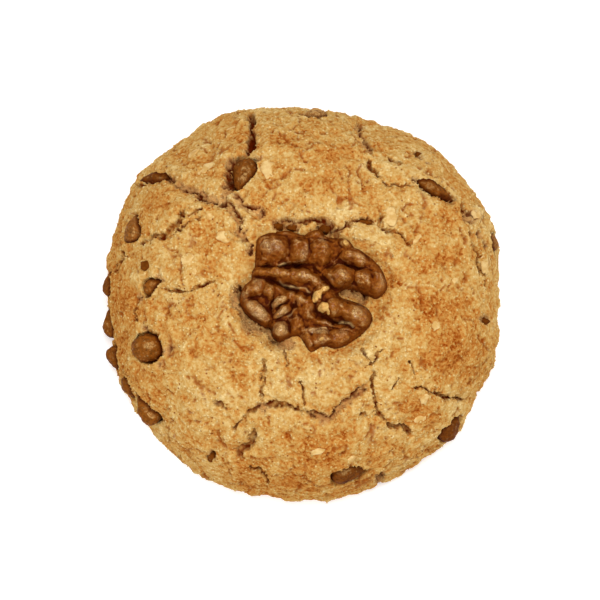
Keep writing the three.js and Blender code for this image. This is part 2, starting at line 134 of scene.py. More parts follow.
WALNUT_GROOVES = {
    "upper_seam": (1.2, 1.9, [
        (-12.0, 5.5), (-9.8, 5.1), (-7.4, 5.1), (-4.7, 5.1), (-3.1, 5.2), (-1.5, 5.5), (-0.1, 5.1),
        (1.0, 4.3), (1.5, 3.8),
    ]),
    "upper_inner": (0.9, 1.5, [
        (1.5, 3.8), (2.3, 4.5), (3.3, 5.1), (4.5, 5.5), (6.0, 5.5), (7.4, 5.1), (8.4, 4.7), (10.0, 4.7),
        (11.6, 4.4),
    ]),
    "seam_left": (1.2, 1.9, [
        (-12.2, 3.2), (-9.8, 2.9), (-7.8, 2.4), (-5.8, 1.5), (-3.9, 0.6), (-1.9, 0.2), (-0.3, -0.4),
        (0.1, -1.5),
    ]),
    "neck": (0.8, 1.7, [
        (0.1, -1.3), (0.3, -2.7), (0.9, -3.7), (2.1, -4.4), (3.7, -5.1), (5.2, -5.3), (6.6, -5.5),
        (7.8, -6.4), (8.6, -7.4),
    ]),
    "left_folds": (0.8, 1.0, [
        (-7.8, 2.1), (-7.3, 0.7), (-7.6, -0.7), (-8.3, -1.9), (-8.2, -3.3), (-8.0, -4.7), (-8.4, -6.2),
    ]),
    "left_middle": (0.7, 0.6, [
        (-14.0, -1.6), (-12.2, -1.1), (-10.8, -0.7), (-9.8, -0.5), (-9.0, -1.1), (-8.4, -1.9),
    ]),
    "fold_gap": (0.6, 0.7, [(-8.0, -3.1), (-6.8, -2.8), (-5.4, -1.9), (-4.3, -1.1)]),
    "fold_low": (0.8, 1.0, [
        (-7.9, -5.1), (-6.4, -4.6), (-5.1, -4.2), (-4.1, -3.0), (-3.3, -1.8), (-3.1, -0.3),
    ]),
    "middle": (0.5, 0.5, [(-3.1, -1.5), (-2.1, -2.3), (-1.8, -3.5), (-2.3, -4.7), (-2.9, -5.5)]),
    "knob_low": (0.8, 0.9, [(-4.7, -4.7), (-4.5, -6.3), (-4.1, -7.4), (-2.9, -8.4)]),
    "shelf_edge": (0.7, 0.8, [
        (-2.9, -7.6), (-1.5, -6.5), (0.1, -5.8), (1.7, -5.9), (3.7, -6.4), (5.6, -7.1), (7.2, -7.4),
        (9.0, -7.6),
    ]),
    "upper_v": (0.7, 0.9, [(6.4, 8.1), (5.4, 7.8), (4.7, 7.1), (4.1, 6.3), (3.4, 5.4)]),
    "knob_saddle": (0.9, 0.7, [(-5.0, 11.4), (-4.6, 9.4), (-4.7, 7.6), (-4.4, 5.5)]),
    "saddle_second": (0.7, 0.6, [(-0.6, 11.2), (-0.9, 9.4), (-0.6, 7.8), (-1.0, 5.7)]),
    "inner_gap": (0.7, 0.7, [(7.9, 4.9), (7.7, 3.4), (7.9, 2.1), (8.8, 1.0)]),
    "inner_end": (0.6, 0.45, [(10.4, 4.7), (11.2, 3.6), (11.7, 2.1), (11.4, 0.7)]),
    "inner_left": (0.8, 1.1, [(1.8, 3.8), (2.1, 2.5), (3.2, 1.3), (4.3, 0.6), (5.4, 0.5)]),
    "knob_ring": (0.5, 0.8, [
        (-8.2, 10.4), (-9.8, 9.8), (-10.4, 8.4), (-10.0, 7.1), (-8.8, 6.4), (-7.2, 6.2),
    ]),
    "top_skin": (0.5, 0.5, [
        (-9.8, 10.7), (-7.8, 11.0), (-5.8, 11.1), (-3.9, 10.8), (-2.1, 10.2), (-0.3, 10.4), (1.7, 10.2),
        (3.1, 9.8),
    ]),
    "orange_ring": (0.5, 0.6, [(4.7, 10.2), (5.0, 8.7), (6.1, 8.0), (7.6, 8.3)]),
    "left_dimple": (0.7, 0.5, [(-12.6, -0.7), (-11.8, -1.3)]),
    "end_bend": (0.6, 0.5, [(9.8, 7.6), (10.6, 6.2), (11.8, 5.6), (13.0, 4.4)]),
}

# Mounds of the kernel: place, two radii, turn in degrees and height.
WALNUT_BUMPS = [
    (-7.8, 8.6, 3.0, 2.3, -10, 0.9), (-2.7, 8.4, 1.8, 2.6, 0, 0.7), (1.3, 7.6, 2.1, 2.1, 0, 0.9),
    (7.8, 6.7, 2.6, 1.6, -20, 0.9), (5.2, 3.3, 2.4, 2.1, 0, 1.3), (9.7, 3.0, 1.9, 1.8, 0, 0.9),
    (12.6, 1.7, 1.5, 2.2, 10, 0.8), (12.2, 4.4, 1.4, 1.6, 0, 0.4), (-11.3, 1.2, 2.3, 1.6, 10, 0.9),
    (-8.5, 0.4, 1.1, 1.5, 0, 0.9), (-11.0, -3.2, 2.8, 1.3, -38, 1.1), (-9.2, -4.9, 1.2, 1.2, 0, 0.5),
    (-6.5, -1.6, 1.7, 0.8, 35, 0.9), (-6.0, -3.5, 1.7, 0.8, 35, 0.9), (-4.9, 0.3, 1.8, 1.2, -15, 0.4),
    (-1.9, -0.9, 1.4, 1.5, 0, 0.8), (-1.0, -3.3, 1.4, 1.5, 0, 0.7), (-3.3, -5.5, 1.2, 1.2, 0, 0.5),
    (-6.2, -7.0, 1.9, 1.6, 0, 1.2), (-3.7, -7.0, 1.0, 1.1, 0, 0.5), (4.1, -2.8, 2.2, 1.5, 0, 1.0),
    (8.2, -4.1, 2.6, 1.9, -15, 1.2), (-1.5, -9.0, 1.3, 1.5, 0, 1.0), (1.5, -8.7, 1.7, 1.5, 0, 1.0),
    (4.9, -8.3, 2.2, 1.5, 10, 0.9), (7.6, -7.4, 1.2, 1.0, 20, 0.4), (2.1, -5.6, 1.6, 0.6, -12, 0.4),
    (-7.4, 4.0, 4.0, 0.8, -4, 0.5), (-2.1, 3.4, 2.2, 1.2, -15, 0.9), (0.1, 2.5, 1.8, 1.1, -40, 0.7),
    (1.5, 0.6, 1.4, 1.0, 20, 1.0), (0.8, -1.1, 0.6, 1.2, 0, 0.7), (1.7, -2.9, 1.1, 1.2, 0, 0.9),
    (6.1, 9.3, 1.1, 1.0, 0, 1.0), (0.1, 11.4, 1.4, 1.0, 0, 0.4), (-4.7, 11.5, 1.8, 0.6, 0, 0.3),
    (-3.1, 9.4, 0.4, 0.8, -30, 0.4), (-1.6, 8.1, 0.5, 1.2, -20, 0.5), (-2.1, 6.6, 0.4, 0.8, 0, 0.4),
]

# Thin pale skins that stand in its grooves.
WALNUT_SKINS = {
    "fold": [(-5.0, -4.7), (-4.1, -3.6), (-3.0, -2.7)],
    "seam": [(-6.7, 2.4), (-5.8, 1.8), (-4.7, 1.3), (-3.1, 1.0), (-1.6, 0.8), (-0.4, -0.0)],
    "bottom": [(-0.8, -7.1), (-0.1, -6.8), (1.1, -6.6), (2.2, -6.7), (3.1, -7.2)],
    "neck": [(4.6, -5.2), (5.5, -5.3), (6.4, -5.5), (7.3, -5.9), (7.9, -6.4)],
    "upper": [(-7.0, 5.4), (-5.8, 5.5), (-4.5, 5.6)],
}

# Torn pale flesh, and where the skin shines and is painted with a pale highlight: place, two radii, turn in
# degrees and strength.
WALNUT_FLESH = [
    (2.2, 0.5, 0.8, 0.6, 20, 1.0), (1.1, -0.3, 0.9, 0.9, 0, 0.9), (0.3, -1.0, 0.6, 1.2, 0, 1.0),
    (1.7, -2.8, 1.0, 1.2, -25, 1.0), (2.7, -3.7, 0.4, 0.7, 20, 0.8), (6.1, 9.3, 1.0, 0.9, 0, 0.75),
    (1.5, -9.0, 1.0, 0.6, 10, 0.6), (-2.3, 3.1, 0.8, 0.5, -10, 0.45), (5.3, 3.7, 1.0, 0.6, -10, 0.4),
    (5.0, -7.8, 0.8, 0.6, 0, 0.25),
]
WALNUT_SHEEN = [
    (-8.0, 8.7, 2.3, 1.4, 0, 0.6), (-1.7, 7.5, 0.7, 1.6, -20, 0.75), (1.8, 9.9, 0.9, 0.9, 0, 0.45),
    (-10.7, 1.6, 0.9, 1.4, 0, 0.65), (-10.6, -3.3, 2.4, 1.2, -38, 1.0), (-6.7, -1.8, 1.6, 0.8, 32, 0.9),
    (-6.0, -3.7, 1.6, 0.7, 32, 0.9), (-6.2, -6.7, 1.4, 1.3, 0, 0.9), (0.7, -7.1, 2.4, 0.6, -8, 0.75),
    (8.3, -3.7, 1.0, 1.7, -15, 0.65), (10.4, -2.9, 0.7, 0.7, 0, 0.45), (5.5, 3.5, 1.1, 0.7, -10, 0.55),
    (8.1, 6.9, 1.5, 0.7, -20, 0.45), (3.4, 2.5, 0.4, 1.1, 25, 0.4), (-2.2, 3.0, 1.4, 0.6, -15, 0.5),
    (-2.8, -1.4, 1.0, 1.0, 0, 0.4), (-0.6, -3.1, 0.9, 1.0, 0, 0.35), (5.2, -7.5, 1.4, 0.8, 10, 0.45),
    (12.9, 2.2, 0.7, 1.6, 10, 0.35), (-13.0, -0.6, 0.8, 1.0, 0, 0.5), (1.5, -8.7, 1.2, 0.9, 0, 0.4),
]

# The kernel's grid step and how far its corners keep inside the outline, the heights of its rim, crown and
# foot about its place, the gap under it and how wide its edge is rounded, in millimetres. Then how far a
# groove pinches it for its depth, how dark the painted shade of its underside is, and the rounds of evening
# out that find tiny, small and wide hollows.
WALNUT_STEP = 0.13
OUTLINE_MARGIN = 0.02
WALNUT_RIM = -0.8
WALNUT_CROWN = 3.7
WALNUT_FOOT = -2.3
WALNUT_GAP = 0.5
WALNUT_EDGE = 2.1
GROOVE_SHARE = 0.44
UNDERSIDE_GROOVE = 0.7
KERNEL_ROUNDS = (2, 5, 80)

# Cracks in plan, in millimetres: width, depth, lip height, how far the right-hand side lies below the
# left one (below nought, above it), and path.
CRACKS = [
    (1.5, 3.0, 0.30, 0.0, [
        (-9.9, 38.6), (-9.8, 36.7), (-9.9, 34.5), (-9.5, 31.9), (-9.6, 29.8), (-10.1, 28.2), (-10.8, 26.6),
    ]),
    (1.3, 3.0, 0.20, 0.0, [(-10.4, 27.4), (-13.2, 25.9), (-14.3, 23.6), (-14.0, 21.4), (-13.2, 19.6)]),
    (1.5, 2.0, 0.30, 0.2, [
        (-13.0, 20.8), (-14.6, 19.1), (-15.5, 17.8), (-17.6, 18.2), (-20.1, 20.0), (-22.5, 21.0),
        (-24.1, 21.9), (-26.0, 23.4),
    ]),
    (1.7, 2.6, 0.20, 0.0, [(-24.6, 23.1), (-26.4, 23.8), (-28.4, 24.2), (-32.6, 24.4)]),
    (1.3, 1.5, 0.15, 0.0, [
        (-14.8, 18.4), (-13.5, 16.3), (-12.2, 14.4), (-12.3, 12.7), (-11.5, 11.2), (-9.6, 9.6),
    ]),
    (1.5, 1.4, 0.15, 0.0, [(-13.0, 20.0), (-11.7, 17.0), (-8.6, 16.0), (-6.1, 14.4)]),
    (1.2, 1.9, 0.25, 0.5, [
        (-6.6, 14.8), (-4.5, 13.6), (-1.5, 13.5), (0.6, 13.6), (2.9, 14.4), (4.6, 13.2), (7.4, 11.6),
        (8.6, 12.6), (10.2, 13.9), (12.8, 14.1), (15.6, 13.6),
    ]),
    (0.9, 1.0, 0.20, 0.5, [
        (-21.9, 16.9), (-24.0, 15.3), (-24.4, 13.2), (-25.8, 12.0), (-27.7, 11.4), (-29.4, 11.3),
        (-33.0, 10.3),
    ]),
    (0.5, 0.7, 0.05, 0.0, [(-18.4, 16.7), (-20.7, 15.9), (-22.5, 15.2)]),
    (0.4, 0.5, 0.05, 0.2, [(-18.9, 14.2), (-21.4, 13.9), (-23.2, 12.5), (-25.0, 12.2)]),
    (0.5, 0.8, 0.10, 0.0, [
        (-27.6, 1.9), (-25.8, 0.2), (-23.7, 0.1), (-21.6, 0.4), (-19.6, 0.7), (-17.7, 1.6), (-15.4, 2.0),
    ]),
    (0.8, 1.0, 0.10, 0.4, [(-37.2, 5.4), (-36.4, 7.0), (-35.2, 9.4)]),
    (1.4, 1.3, 0.20, 0.0, [(11.3, 36.6), (12.5, 32.8), (13.2, 30.2), (14.3, 28.0)]),
    (0.7, 1.4, 0.10, 0.0, [(13.0, 27.0), (13.6, 25.8), (14.2, 24.9), (16.0, 22.6)]),
    (0.5, 0.7, 0.05, 0.0, [(17.0, 27.8), (18.6, 26.7), (20.4, 25.8)]),
    (0.5, 0.7, 0.10, 0.3, [(15.6, 22.6), (17.7, 21.6), (20.9, 21.9), (22.7, 21.8)]),
    (1.6, 1.7, 0.30, 0.1, [(21.8, 23.4), (24.2, 22.1), (26.9, 21.0), (28.6, 20.2), (31.4, 19.2)]),
    (0.6, 0.9, 0.15, 0.4, [
        (15.6, 16.4), (15.7, 13.5), (16.9, 12.2), (19.4, 11.3), (21.2, 10.0), (23.3, 9.6),
    ]),
    (0.8, 1.1, 0.20, -1.7, [
        (32.7, 20.4), (32.8, 17.2), (32.9, 15.0), (33.8, 12.4), (34.8, 9.2), (36.0, 5.8), (36.9, 2.6),
        (37.1, 0.4),
    ]),
    (0.5, 0.8, 0.05, 0.0, [(-32.2, -0.2), (-32.4, -1.6), (-32.7, -3.2), (-32.5, -5.2)]),
    (0.5, 0.8, 0.05, 0.0, [(-7.0, -12.6), (-6.9, -16.5), (-7.3, -19.5), (-7.4, -22.0)]),
    (0.6, 0.8, 0.10, 0.2, [(-7.0, -22.6), (-9.9, -23.6), (-12.2, -25.4), (-12.6, -27.4)]),
    (1.0, 1.4, 0.20, 0.2, [
        (-7.8, -22.8), (-6.0, -22.1), (-4.3, -22.1), (-2.5, -22.4), (-0.2, -23.4), (1.6, -23.6),
    ]),
    (0.5, 0.7, 0.05, 0.0, [(0.0, -17.6), (0.5, -20.1), (1.0, -22.5)]),
    (1.3, 1.7, 0.25, 0.2, [
        (0.8, -22.6), (2.3, -23.8), (4.8, -25.1), (6.3, -24.5), (7.1, -23.3), (8.3, -21.9), (9.9, -21.5),
        (10.9, -20.0), (12.1, -19.0), (12.4, -16.9),
    ]),
    (0.5, 0.7, 0.05, 0.0, [(-3.4, -11.0), (-2.8, -12.8), (-2.0, -15.0)]),
    (0.5, 0.7, 0.05, 0.0, [(-17.0, -21.5), (-15.6, -21.9), (-14.0, -22.6)]),
    (1.1, 1.2, 0.20, 0.3, [(-8.0, -26.4), (-9.4, -29.0), (-10.5, -29.9), (-12.2, -31.0), (-11.4, -33.0)]),
    (0.7, 1.0, 0.10, 0.2, [(-10.8, -34.3), (-7.9, -34.1), (-6.9, -35.9), (-6.0, -37.4)]),
    (0.5, 0.9, 0.05, 0.0, [
        (14.3, -15.0), (14.1, -18.5), (14.5, -20.9), (15.0, -23.1), (16.3, -24.3), (17.4, -25.8),
    ]),
    (1.1, 1.4, 0.15, 0.3, [(16.8, -25.4), (17.9, -26.1), (19.4, -26.2), (22.4, -26.8)]),
    (0.8, 1.1, 0.25, -0.6, [
        (21.8, -18.8), (24.5, -18.3), (25.6, -19.3), (27.8, -19.8), (31.6, -20.4), (34.6, -19.6),
    ]),
    (0.4, 0.7, 0.05, 0.0, [(12.0, -10.8), (13.2, -13.3), (14.3, -14.7)]),
    (0.4, 0.7, 0.05, 0.0, [(14.2, -14.7), (15.0, -13.2), (16.2, -11.3)]),
    (0.5, 0.7, 0.05, 0.0, [(21.9, -13.2), (22.2, -14.6), (22.6, -16.4)]),
    (0.5, 0.6, 0.05, 0.0, [(11.0, -24.3), (13.4, -23.9)]),
    (0.4, 0.5, 0.05, 0.0, [(19.3, -16.2), (19.1, -17.8), (17.6, -19.0)]),
    (3.0, 1.4, 0.0, 0.0, [(7.9, 0.7), (9.6, 0.0), (11.4, -0.8), (13.4, -1.6)]),
    (1.9, 2.0, 0.10, 0.0, [
        (-12.0, 2.6), (-12.5, -1.0), (-11.4, -3.9), (-9.2, -5.7), (-6.9, -7.1), (-5.1, -9.2), (-2.4, -10.2),
    ]),
]

# The share of a crack over which its ends taper, where its lips lie and how wide they are, and how far the
# step across it reaches and how wide its edge is, in millimetres.
CRACK_END_SHARE = 0.14
LIP_PLACE = 1.6
LIP_WIDTH = 1.1
STEP_REACH = 3.5
STEP_EDGE = 0.35

# The soft lamps round the cookie: heading and height in degrees, share of the light, and width in metres.
# Then their distance, the floor's glow and half width, and the camera's sensor in millimetres and clip
# distances.
LAMPS = {
    "key": (100, 76, 1.75, 0.55), "back": (35, 46, 0.75, 0.3), "side": (205, 46, 0.92, 0.3),
    "front": (300, 46, 1.0, 0.3),
}
LAMP_DISTANCE = 0.9
FLOOR_GLOW = 0.35
FLOOR_HALF = 3
SENSOR_WIDTH = 36
CLIP_RANGE = (0.01, 20)

# Small hollows and lumps in plan, in millimetres: place, radius, depth (below nought for a lump).
HOLLOWS = [
    (23.7, 28.7, 1.0, 1.2), (34.0, 16.2, 1.4, 2.0), (35.7, 12.3, 0.9, 1.1), (37.0, 10.9, 0.8, 0.9),
    (-30.8, -6.6, 0.9, 1.3), (-7.4, -22.8, 1.5, 1.2), (-17.4, -31.4, 1.0, 1.6), (4.9, -25.0, 1.5, 0.8),
    (36.6, -4.6, 1.3, 1.3), (16.1, -35.4, 1.2, 1.6), (-25.8, -11.2, 1.3, 0.9), (-27.4, -14.0, 1.0, 0.8),
    (-31.6, -0.6, 0.9, 0.9), (-27.4, 3.0, 1.0, 1.0), (35.4, 17.1, 2.2, -1.0), (36.4, 8.0, 1.6, -0.6),
    (-4.4, 12.9, 1.7, 1.7), (-1.4, 12.8, 1.7, 1.5), (4.9, 12.5, 1.7, 1.8), (-9.4, -6.2, 2.2, 1.2),
    (-7.6, -7.4, 1.5, 0.9), (-3.2, -10.3, 1.6, 1.0), (-1.9, -10.6, 1.3, 0.9), (-9.6, 7.8, 0.9, 1.6),
    (-9.6, 9.0, 0.8, 1.4), (-13.9, 26.0, 1.1, 1.9), (-10.4, 28.2, 1.1, 2.0), (-8.7, 26.4, 0.8, 1.6),
    (-14.6, 20.9, 1.0, 1.5),
]

# Darker baked patches in plan, a few beside the walnut being painted shade, in millimetres: place, radius and
# strength.
TOASTED = [
    (-27.5, 19.0, 6.0, 0.6), (-35.5, -1.0, 5.5, 0.95), (-34.5, 13.0, 5.0, 0.6), (-14.0, 30.5, 7.0, 0.5),
    (-22.0, 30.0, 6.5, 0.4), (29.5, -10.0, 7.5, 0.9), (26.0, -4.5, 5.0, 1.0), (31.0, 8.0, 6.0, 0.4),
    (6.0, -33.0, 7.5, 0.95), (16.5, -30.5, 5.0, 0.35), (-9.0, -34.5, 6.0, 0.75), (-1.5, -28.0, 5.0, 0.4),
    (-16.0, 9.5, 5.5, 0.6), (-27.0, -13.0, 5.0, 0.7), (1.5, 33.5, 6.0, 0.35), (24.0, -23.5, 4.0, 0.9),
    (22.5, 10.0, 5.5, 0.45), (-33.0, -15.0, 5.0, 0.8), (5.5, 26.5, 4.5, 0.8), (13.5, 15.0, 4.5, 0.5),
    (-7.5, 16.0, 4.0, 0.7), (-20.0, -11.5, 2.6, 0.5), (-5.0, -24.8, 3.5, 0.4), (-11.0, 7.0, 3.0, 0.6),
    (29.0, -4.0, 4.0, 0.9), (-35.5, -9.0, 4.0, 0.9), (-1.0, -14.0, 3.0, 0.8), (-11.0, -9.5, 3.0, 0.8),
    (4.0, 21.5, 4.0, 0.7), (29.0, 15.5, 4.0, 0.7), (-1.0, -35.5, 5.0, 0.8), (13.5, -33.5, 4.5, 0.7),
    (-26.5, -8.0, 4.0, 0.7), (24.0, 5.5, 3.5, 0.7), (-16.0, 5.5, 3.0, 0.7), (-37.5, 5.0, 4.5, 0.85),
    (-38.0, -4.5, 4.5, 0.9), (-36.0, 12.0, 4.5, 0.7),
]

# How much further the crust laps over a chip, in millimetres (below nought it leaves more of it bare), and
# the slits through which the deepest chips show: half width and path.
CHIP_LAPS = {
    "chip_01": -0.8, "chip_02": -2.2, "chip_03": -1.2, "chip_04": -1.2, "chip_11": -1.0, "chip_12": -1.6,
    "chip_13": -1.0,
}
CHIP_SLITS = {
    "chip_11": (0.7, [(21.5, 23.9), (23.3, 22.9), (25.9, 22.2), (28.3, 21.1), (30.8, 20.0)]),
    "chip_12": (1.2, [(7.0, -35.8), (9.0, -35.0), (11.2, -34.7), (13.2, -35.0)]),
    "chip_13": (0.8, [(-34.6, 24.0), (-31.9, 24.5), (-29.0, 24.6), (-25.0, 24.0)]),
}

# Chips in a well with upright walls.
CHIP_WELLS = {"chip_02"}

# Chips that show as dull and dusty, as a share of dust from 0 to 1, and the dust on the other chips.
DUSTY_CHIPS = {"chip_04": 0.2, "chip_14": 0.95, "chip_15": 0.4}
PLAIN_DUST = 0.05

# Chips that lie deep and show dark, as a share of shade from 0 to 1, the shares of red, green and blue that
# full shade leaves, the shade where a chip meets the crust, and the shade of the small bits.
SHADED_CHIPS = {
    "chip_01": 0.2, "chip_06": 0.25, "chip_07": 0.1, "chip_08": 0.15, "chip_09": 0.25, "chip_10": 0.5,
    "chip_11": 0.15, "chip_12": 0.35, "chip_13": 0.3,
}
SHADE_SHARES = (0.25, 0.12, 0.07)
FULL_SHADE = 0.9
BIT_SHADE = 0.45

# Nut flakes in plan, in millimetres: place, heading in degrees, length and width, then half the height of
# all and how deep their middles lie.
FLAKES = [
    (-18.8, 25.1, 15, 4.0, 2.3), (-21.2, 28.8, 20, 2.4, 1.9), (-13.8, 34.0, 40, 1.8, 1.1),
    (-19.8, 22.6, 165, 2.4, 1.0), (-14.8, 10.6, 0, 3.4, 2.2), (-17.6, 14.8, 30, 1.8, 1.4),
    (-9.4, 15.2, 300, 2.6, 1.7), (12.2, 12.2, 176, 2.9, 1.1), (17.8, 14.9, 95, 3.6, 2.6),
    (22.9, 10.6, 60, 2.4, 1.1), (36.8, 6.9, 100, 4.6, 1.9), (35.2, 17.0, 60, 2.6, 2.0),
    (-6.2, 24.3, 95, 4.4, 3.0), (-22.0, 6.4, 20, 2.6, 2.2), (-27.0, 4.4, 70, 2.0, 1.6),
    (23.6, -24.4, 20, 2.4, 1.6), (3.4, -31.0, 25, 3.0, 1.3), (26.5, -6.5, 70, 2.2, 1.5),
    (-20.6, 3.8, 60, 1.4, 1.1), (24.4, -20.6, 20, 2.2, 1.8), (10.0, -32.4, 60, 2.2, 1.7),
    (30.4, 2.6, 30, 1.3, 1.1),
]
FLAKE_HEIGHT = 0.25
FLAKE_SUNK = 0.12

# Bits of chocolate that show in the hollows, in millimetres: place and radii in plan, and half the height
# of all.
CHOCOLATE_BITS = [
    (-30.4, 5.7, 1.0, 1.0), (-4.4, 12.9, 1.2, 1.0), (-1.4, 12.8, 1.3, 0.8), (5.0, 12.6, 1.3, 0.9),
    (12.9, 13.6, 1.9, 0.7), (-17.4, -31.4, 0.9, 1.2), (23.7, 28.7, 0.8, 0.7), (36.5, -4.6, 1.2, 0.8),
]
BIT_HEIGHT = 0.7

# How finely chips, bits and flakes are rounded.
ROUNDING_LEVELS = 3

# Directions of rays, how far a ray starts above what it leaves, and the height that rays at the crust
# start from.
UP = Vector((0, 0, 1))
DOWN = Vector((0, 0, -1))
RAY_LIFT = 1e-5
RAY_START = 0.1

# Numbers that turn a noise cell and its seed into a random key.
CELL_KEYS = np.array([73856093, 19349663, 83492791])
KEY_MIXES = ((13, 1274126177), (15, 668265263))
KEY_MASK = 0x7FFFFFFF

# The size of the fine crumb in the materials, in millimetres.
SPECKLE_SIZE = 0.8


def linear(red, green, blue):
    """A colour given as on a screen, 0 to 255, as the linear light that materials take."""
    shares = [channel / 255 for channel in (red, green, blue)]
    return tuple(s / 12.92 if s <= 0.04045 else ((s + 0.055) / 1.055) ** 2.4 for s in shares)


def colour_property(name, description, screen):
    """A colour that a user may change."""
    return bpy.props.FloatVectorProperty(
        name=name, description=description, subtype="COLOR", size=3, min=0.0, max=1.0, default=linear(*screen)
    )


def length_property(name, description, millimetres):
    """A length that a user may change."""
    return bpy.props.FloatProperty(
        name=name, description=description, unit="LENGTH", precision=5, min=0.0, default=millimetres * MM
    )


class DoughSettings(bpy.types.PropertyGroup):
    """Sizes and colours of the dough."""

    radius: length_property("Radius", "Radius of the dough at its widest, before its swells", 39.8)
    height: length_property("Height", "Height of the dough at its crown", 26.0)
    grain_size: length_property("Grain Size", "Size of the larger crumbs of the crust", 1.0)
    grain_height: length_property("Grain Height", "How far the larger crumbs stand up", 0.18)
    crack_share: bpy.props.FloatProperty(
        name="Crack Depth", description="Depth of the cracks against their usual depth",
        subtype="FACTOR", min=0.0, max=2.0, default=1.0,
    )
    cream: colour_property("Cream", "Colour of the palest grains", (232, 203, 142))
    golden: colour_property("Golden", "Main colour of the crust", (201, 155, 84))
    pale: colour_property("Pale", "Colour of pale crumb and of the ring round the walnut", (216, 182, 118))
    toasted: colour_property("Toasted", "Colour of the darker baked patches", (186, 120, 51))
    # Brown is the darkest baked colour, and the painted shade of pinholes and hairline creases.
    brown: colour_property("Brown", "Colour of the darkest specks and crack edges", (144, 62, 8))
    floor: colour_property("Crack Floor", "Colour of the crumb inside cracks", (212, 170, 110))
    # The deep colour is painted shade: hollows, crack walls and the gaps round the chips take it.
    deep: colour_property("Deep", "Colour of the deepest gaps", (92, 27, 0))


class WalnutSettings(bpy.types.PropertyGroup):
    """Size and colours of the walnut half."""

    wrinkle: length_property("Wrinkle", "Height of the fine wrinkles of the skin", 0.3)
    skin: colour_property("Skin", "Colour of the kernel's skin", (132, 66, 10))
    groove: colour_property("Groove", "Colour between the lobes", (68, 19, 0))
    # This colour is a painted highlight on the ridges; it also marks the torn flesh.
    bloom: colour_property("Bloom", "Golden bloom on the lobes", (180, 116, 46))
    # This colour is a painted highlight on the lobes' tops; the thin skins take it too.
    cream_sheen: colour_property("Dry", "Pale dry sheen on the tops of the lobes", (232, 192, 126))
    flesh: colour_property("Flesh", "Torn pale flesh of the kernel", (226, 178, 100))


class ChipSettings(bpy.types.PropertyGroup):
    """Colours of the chocolate."""

    chocolate: colour_property("Chocolate", "Colour of the chips", (140, 77, 16))
    # Dust, and the painted highlight on the chips' bare tops, take this colour.
    dust_and_highlight: colour_property("Dust", "Flour and fat bloom on dull chips", (194, 150, 90))


class CrumbSettings(bpy.types.PropertyGroup):
    """Sizes and seed of the loose crumbs."""

    size: length_property("Crumb Size", "Largest size of a crumb on the crust", 0.66)
    spacing: length_property("Crumb Spacing", "Least distance between crumbs", 0.45)
    seed: bpy.props.IntProperty(name="Seed", description="Seed of the crumbs' places", default=7)


class StageSettings(bpy.types.PropertyGroup):
    """The camera and the light."""

    elevation: bpy.props.FloatProperty(
        name="Elevation", description="Camera's angle above the floor",
        subtype="ANGLE", default=math.radians(83),
    )
    distance: length_property("Distance", "Camera's distance from the cookie", 500.0)
    aim_height: length_property("Aim Height", "Height of the point the camera looks at", 10.0)
    lens: bpy.props.FloatProperty(
        name="Lens", description="Focal length on a 36 mm sensor, in millimetres", default=150.0,
    )
    lamp_power: bpy.props.FloatProperty(
        name="Lamp Power", description="Power of a soft lamp with a share of one", unit="POWER", default=2.68,
    )
    sky: bpy.props.FloatProperty(name="Sky", description="Strength of the even white surround", default=0.14)


def smooth(value, low, high):
    """Rises smoothly from 0 at low to 1 at high."""
    share = np.clip((value - low) / (high - low), 0.0, 1.0)
    return share * share * (3.0 - 2.0 * share)


def waves(x, y, length, height):
    """Long even swells over the plan."""
    total = np.zeros_like(x)
    for i in range(WAVES):
        across = x * math.cos(2.4 * i) + y * math.sin(2.4 * i)
        total += np.sin(2 * math.pi * across / (length * (1 + 0.13 * i)) + 1.7 * i * i)
    return total * height / math.sqrt(WAVES)


def noise(points, size, seed):
    """Seeded smooth noise from about -1 to 1, with lumps of the given size."""
    place = points / size + 31.7 * (seed + 1)
    cell = np.floor(place).astype(np.int64)
    part = place - cell
    ease = part ** 3 * (part * (part * 6 - 15) + 10)
    total = np.zeros(len(points))
    for corner in range(8):
        step = np.array([corner & 1, (corner >> 1) & 1, (corner >> 2) & 1])
        key = (cell + step) @ CELL_KEYS + 977 * seed
        for shift, factor in KEY_MIXES:
            key = ((key ^ (key >> shift)) * factor) & KEY_MASK
        turn = (key % 4096) * (2 * math.pi / 4096)
        rise = ((key >> 12) % 2048) / 1024.0 - 1.0
        flat = np.sqrt(np.maximum(0.0, 1.0 - rise * rise))
        away = part - step
        slope = flat * np.cos(turn) * away[:, 0] + flat * np.sin(turn) * away[:, 1] + rise * away[:, 2]
        total += np.where(step, ease, 1.0 - ease).prod(axis=1) * slope
    return total * 1.6


def spline_points(knots, steps, closed=False):
    """Points at even shares of a smooth curve through knots. A closed one ends where it starts."""
    knots = np.array(knots, float)
    before, after = (knots[-2:-1], knots[1:2]) if closed else (knots[:1], knots[-1:])
    ends = np.vstack([before, knots, after])
    fine = []
    for i in range(len(knots) - 1):
        p0, p1, p2, p3 = ends[i:i + 4]
        t = np.linspace(0, 1, steps // len(knots), endpoint=i == len(knots) - 2)[:, None]
        v0, v1 = (p2 - p0) / 2, (p3 - p1) / 2
        cubed = 2 * p1 - 2 * p2 + v0 + v1
        squared = -3 * p1 + 3 * p2 - 2 * v0 - v1
        fine.append(cubed * t ** 3 + squared * t ** 2 + v0 * t + p1)
    fine = np.vstack(fine)
    run = np.concatenate([[0], np.cumsum(np.hypot(*np.diff(fine, axis=0).T))])
    even = np.linspace(0, run[-1], steps)
    return np.stack([np.interp(even, run, fine[:, 0]), np.interp(even, run, fine[:, 1])], 1)


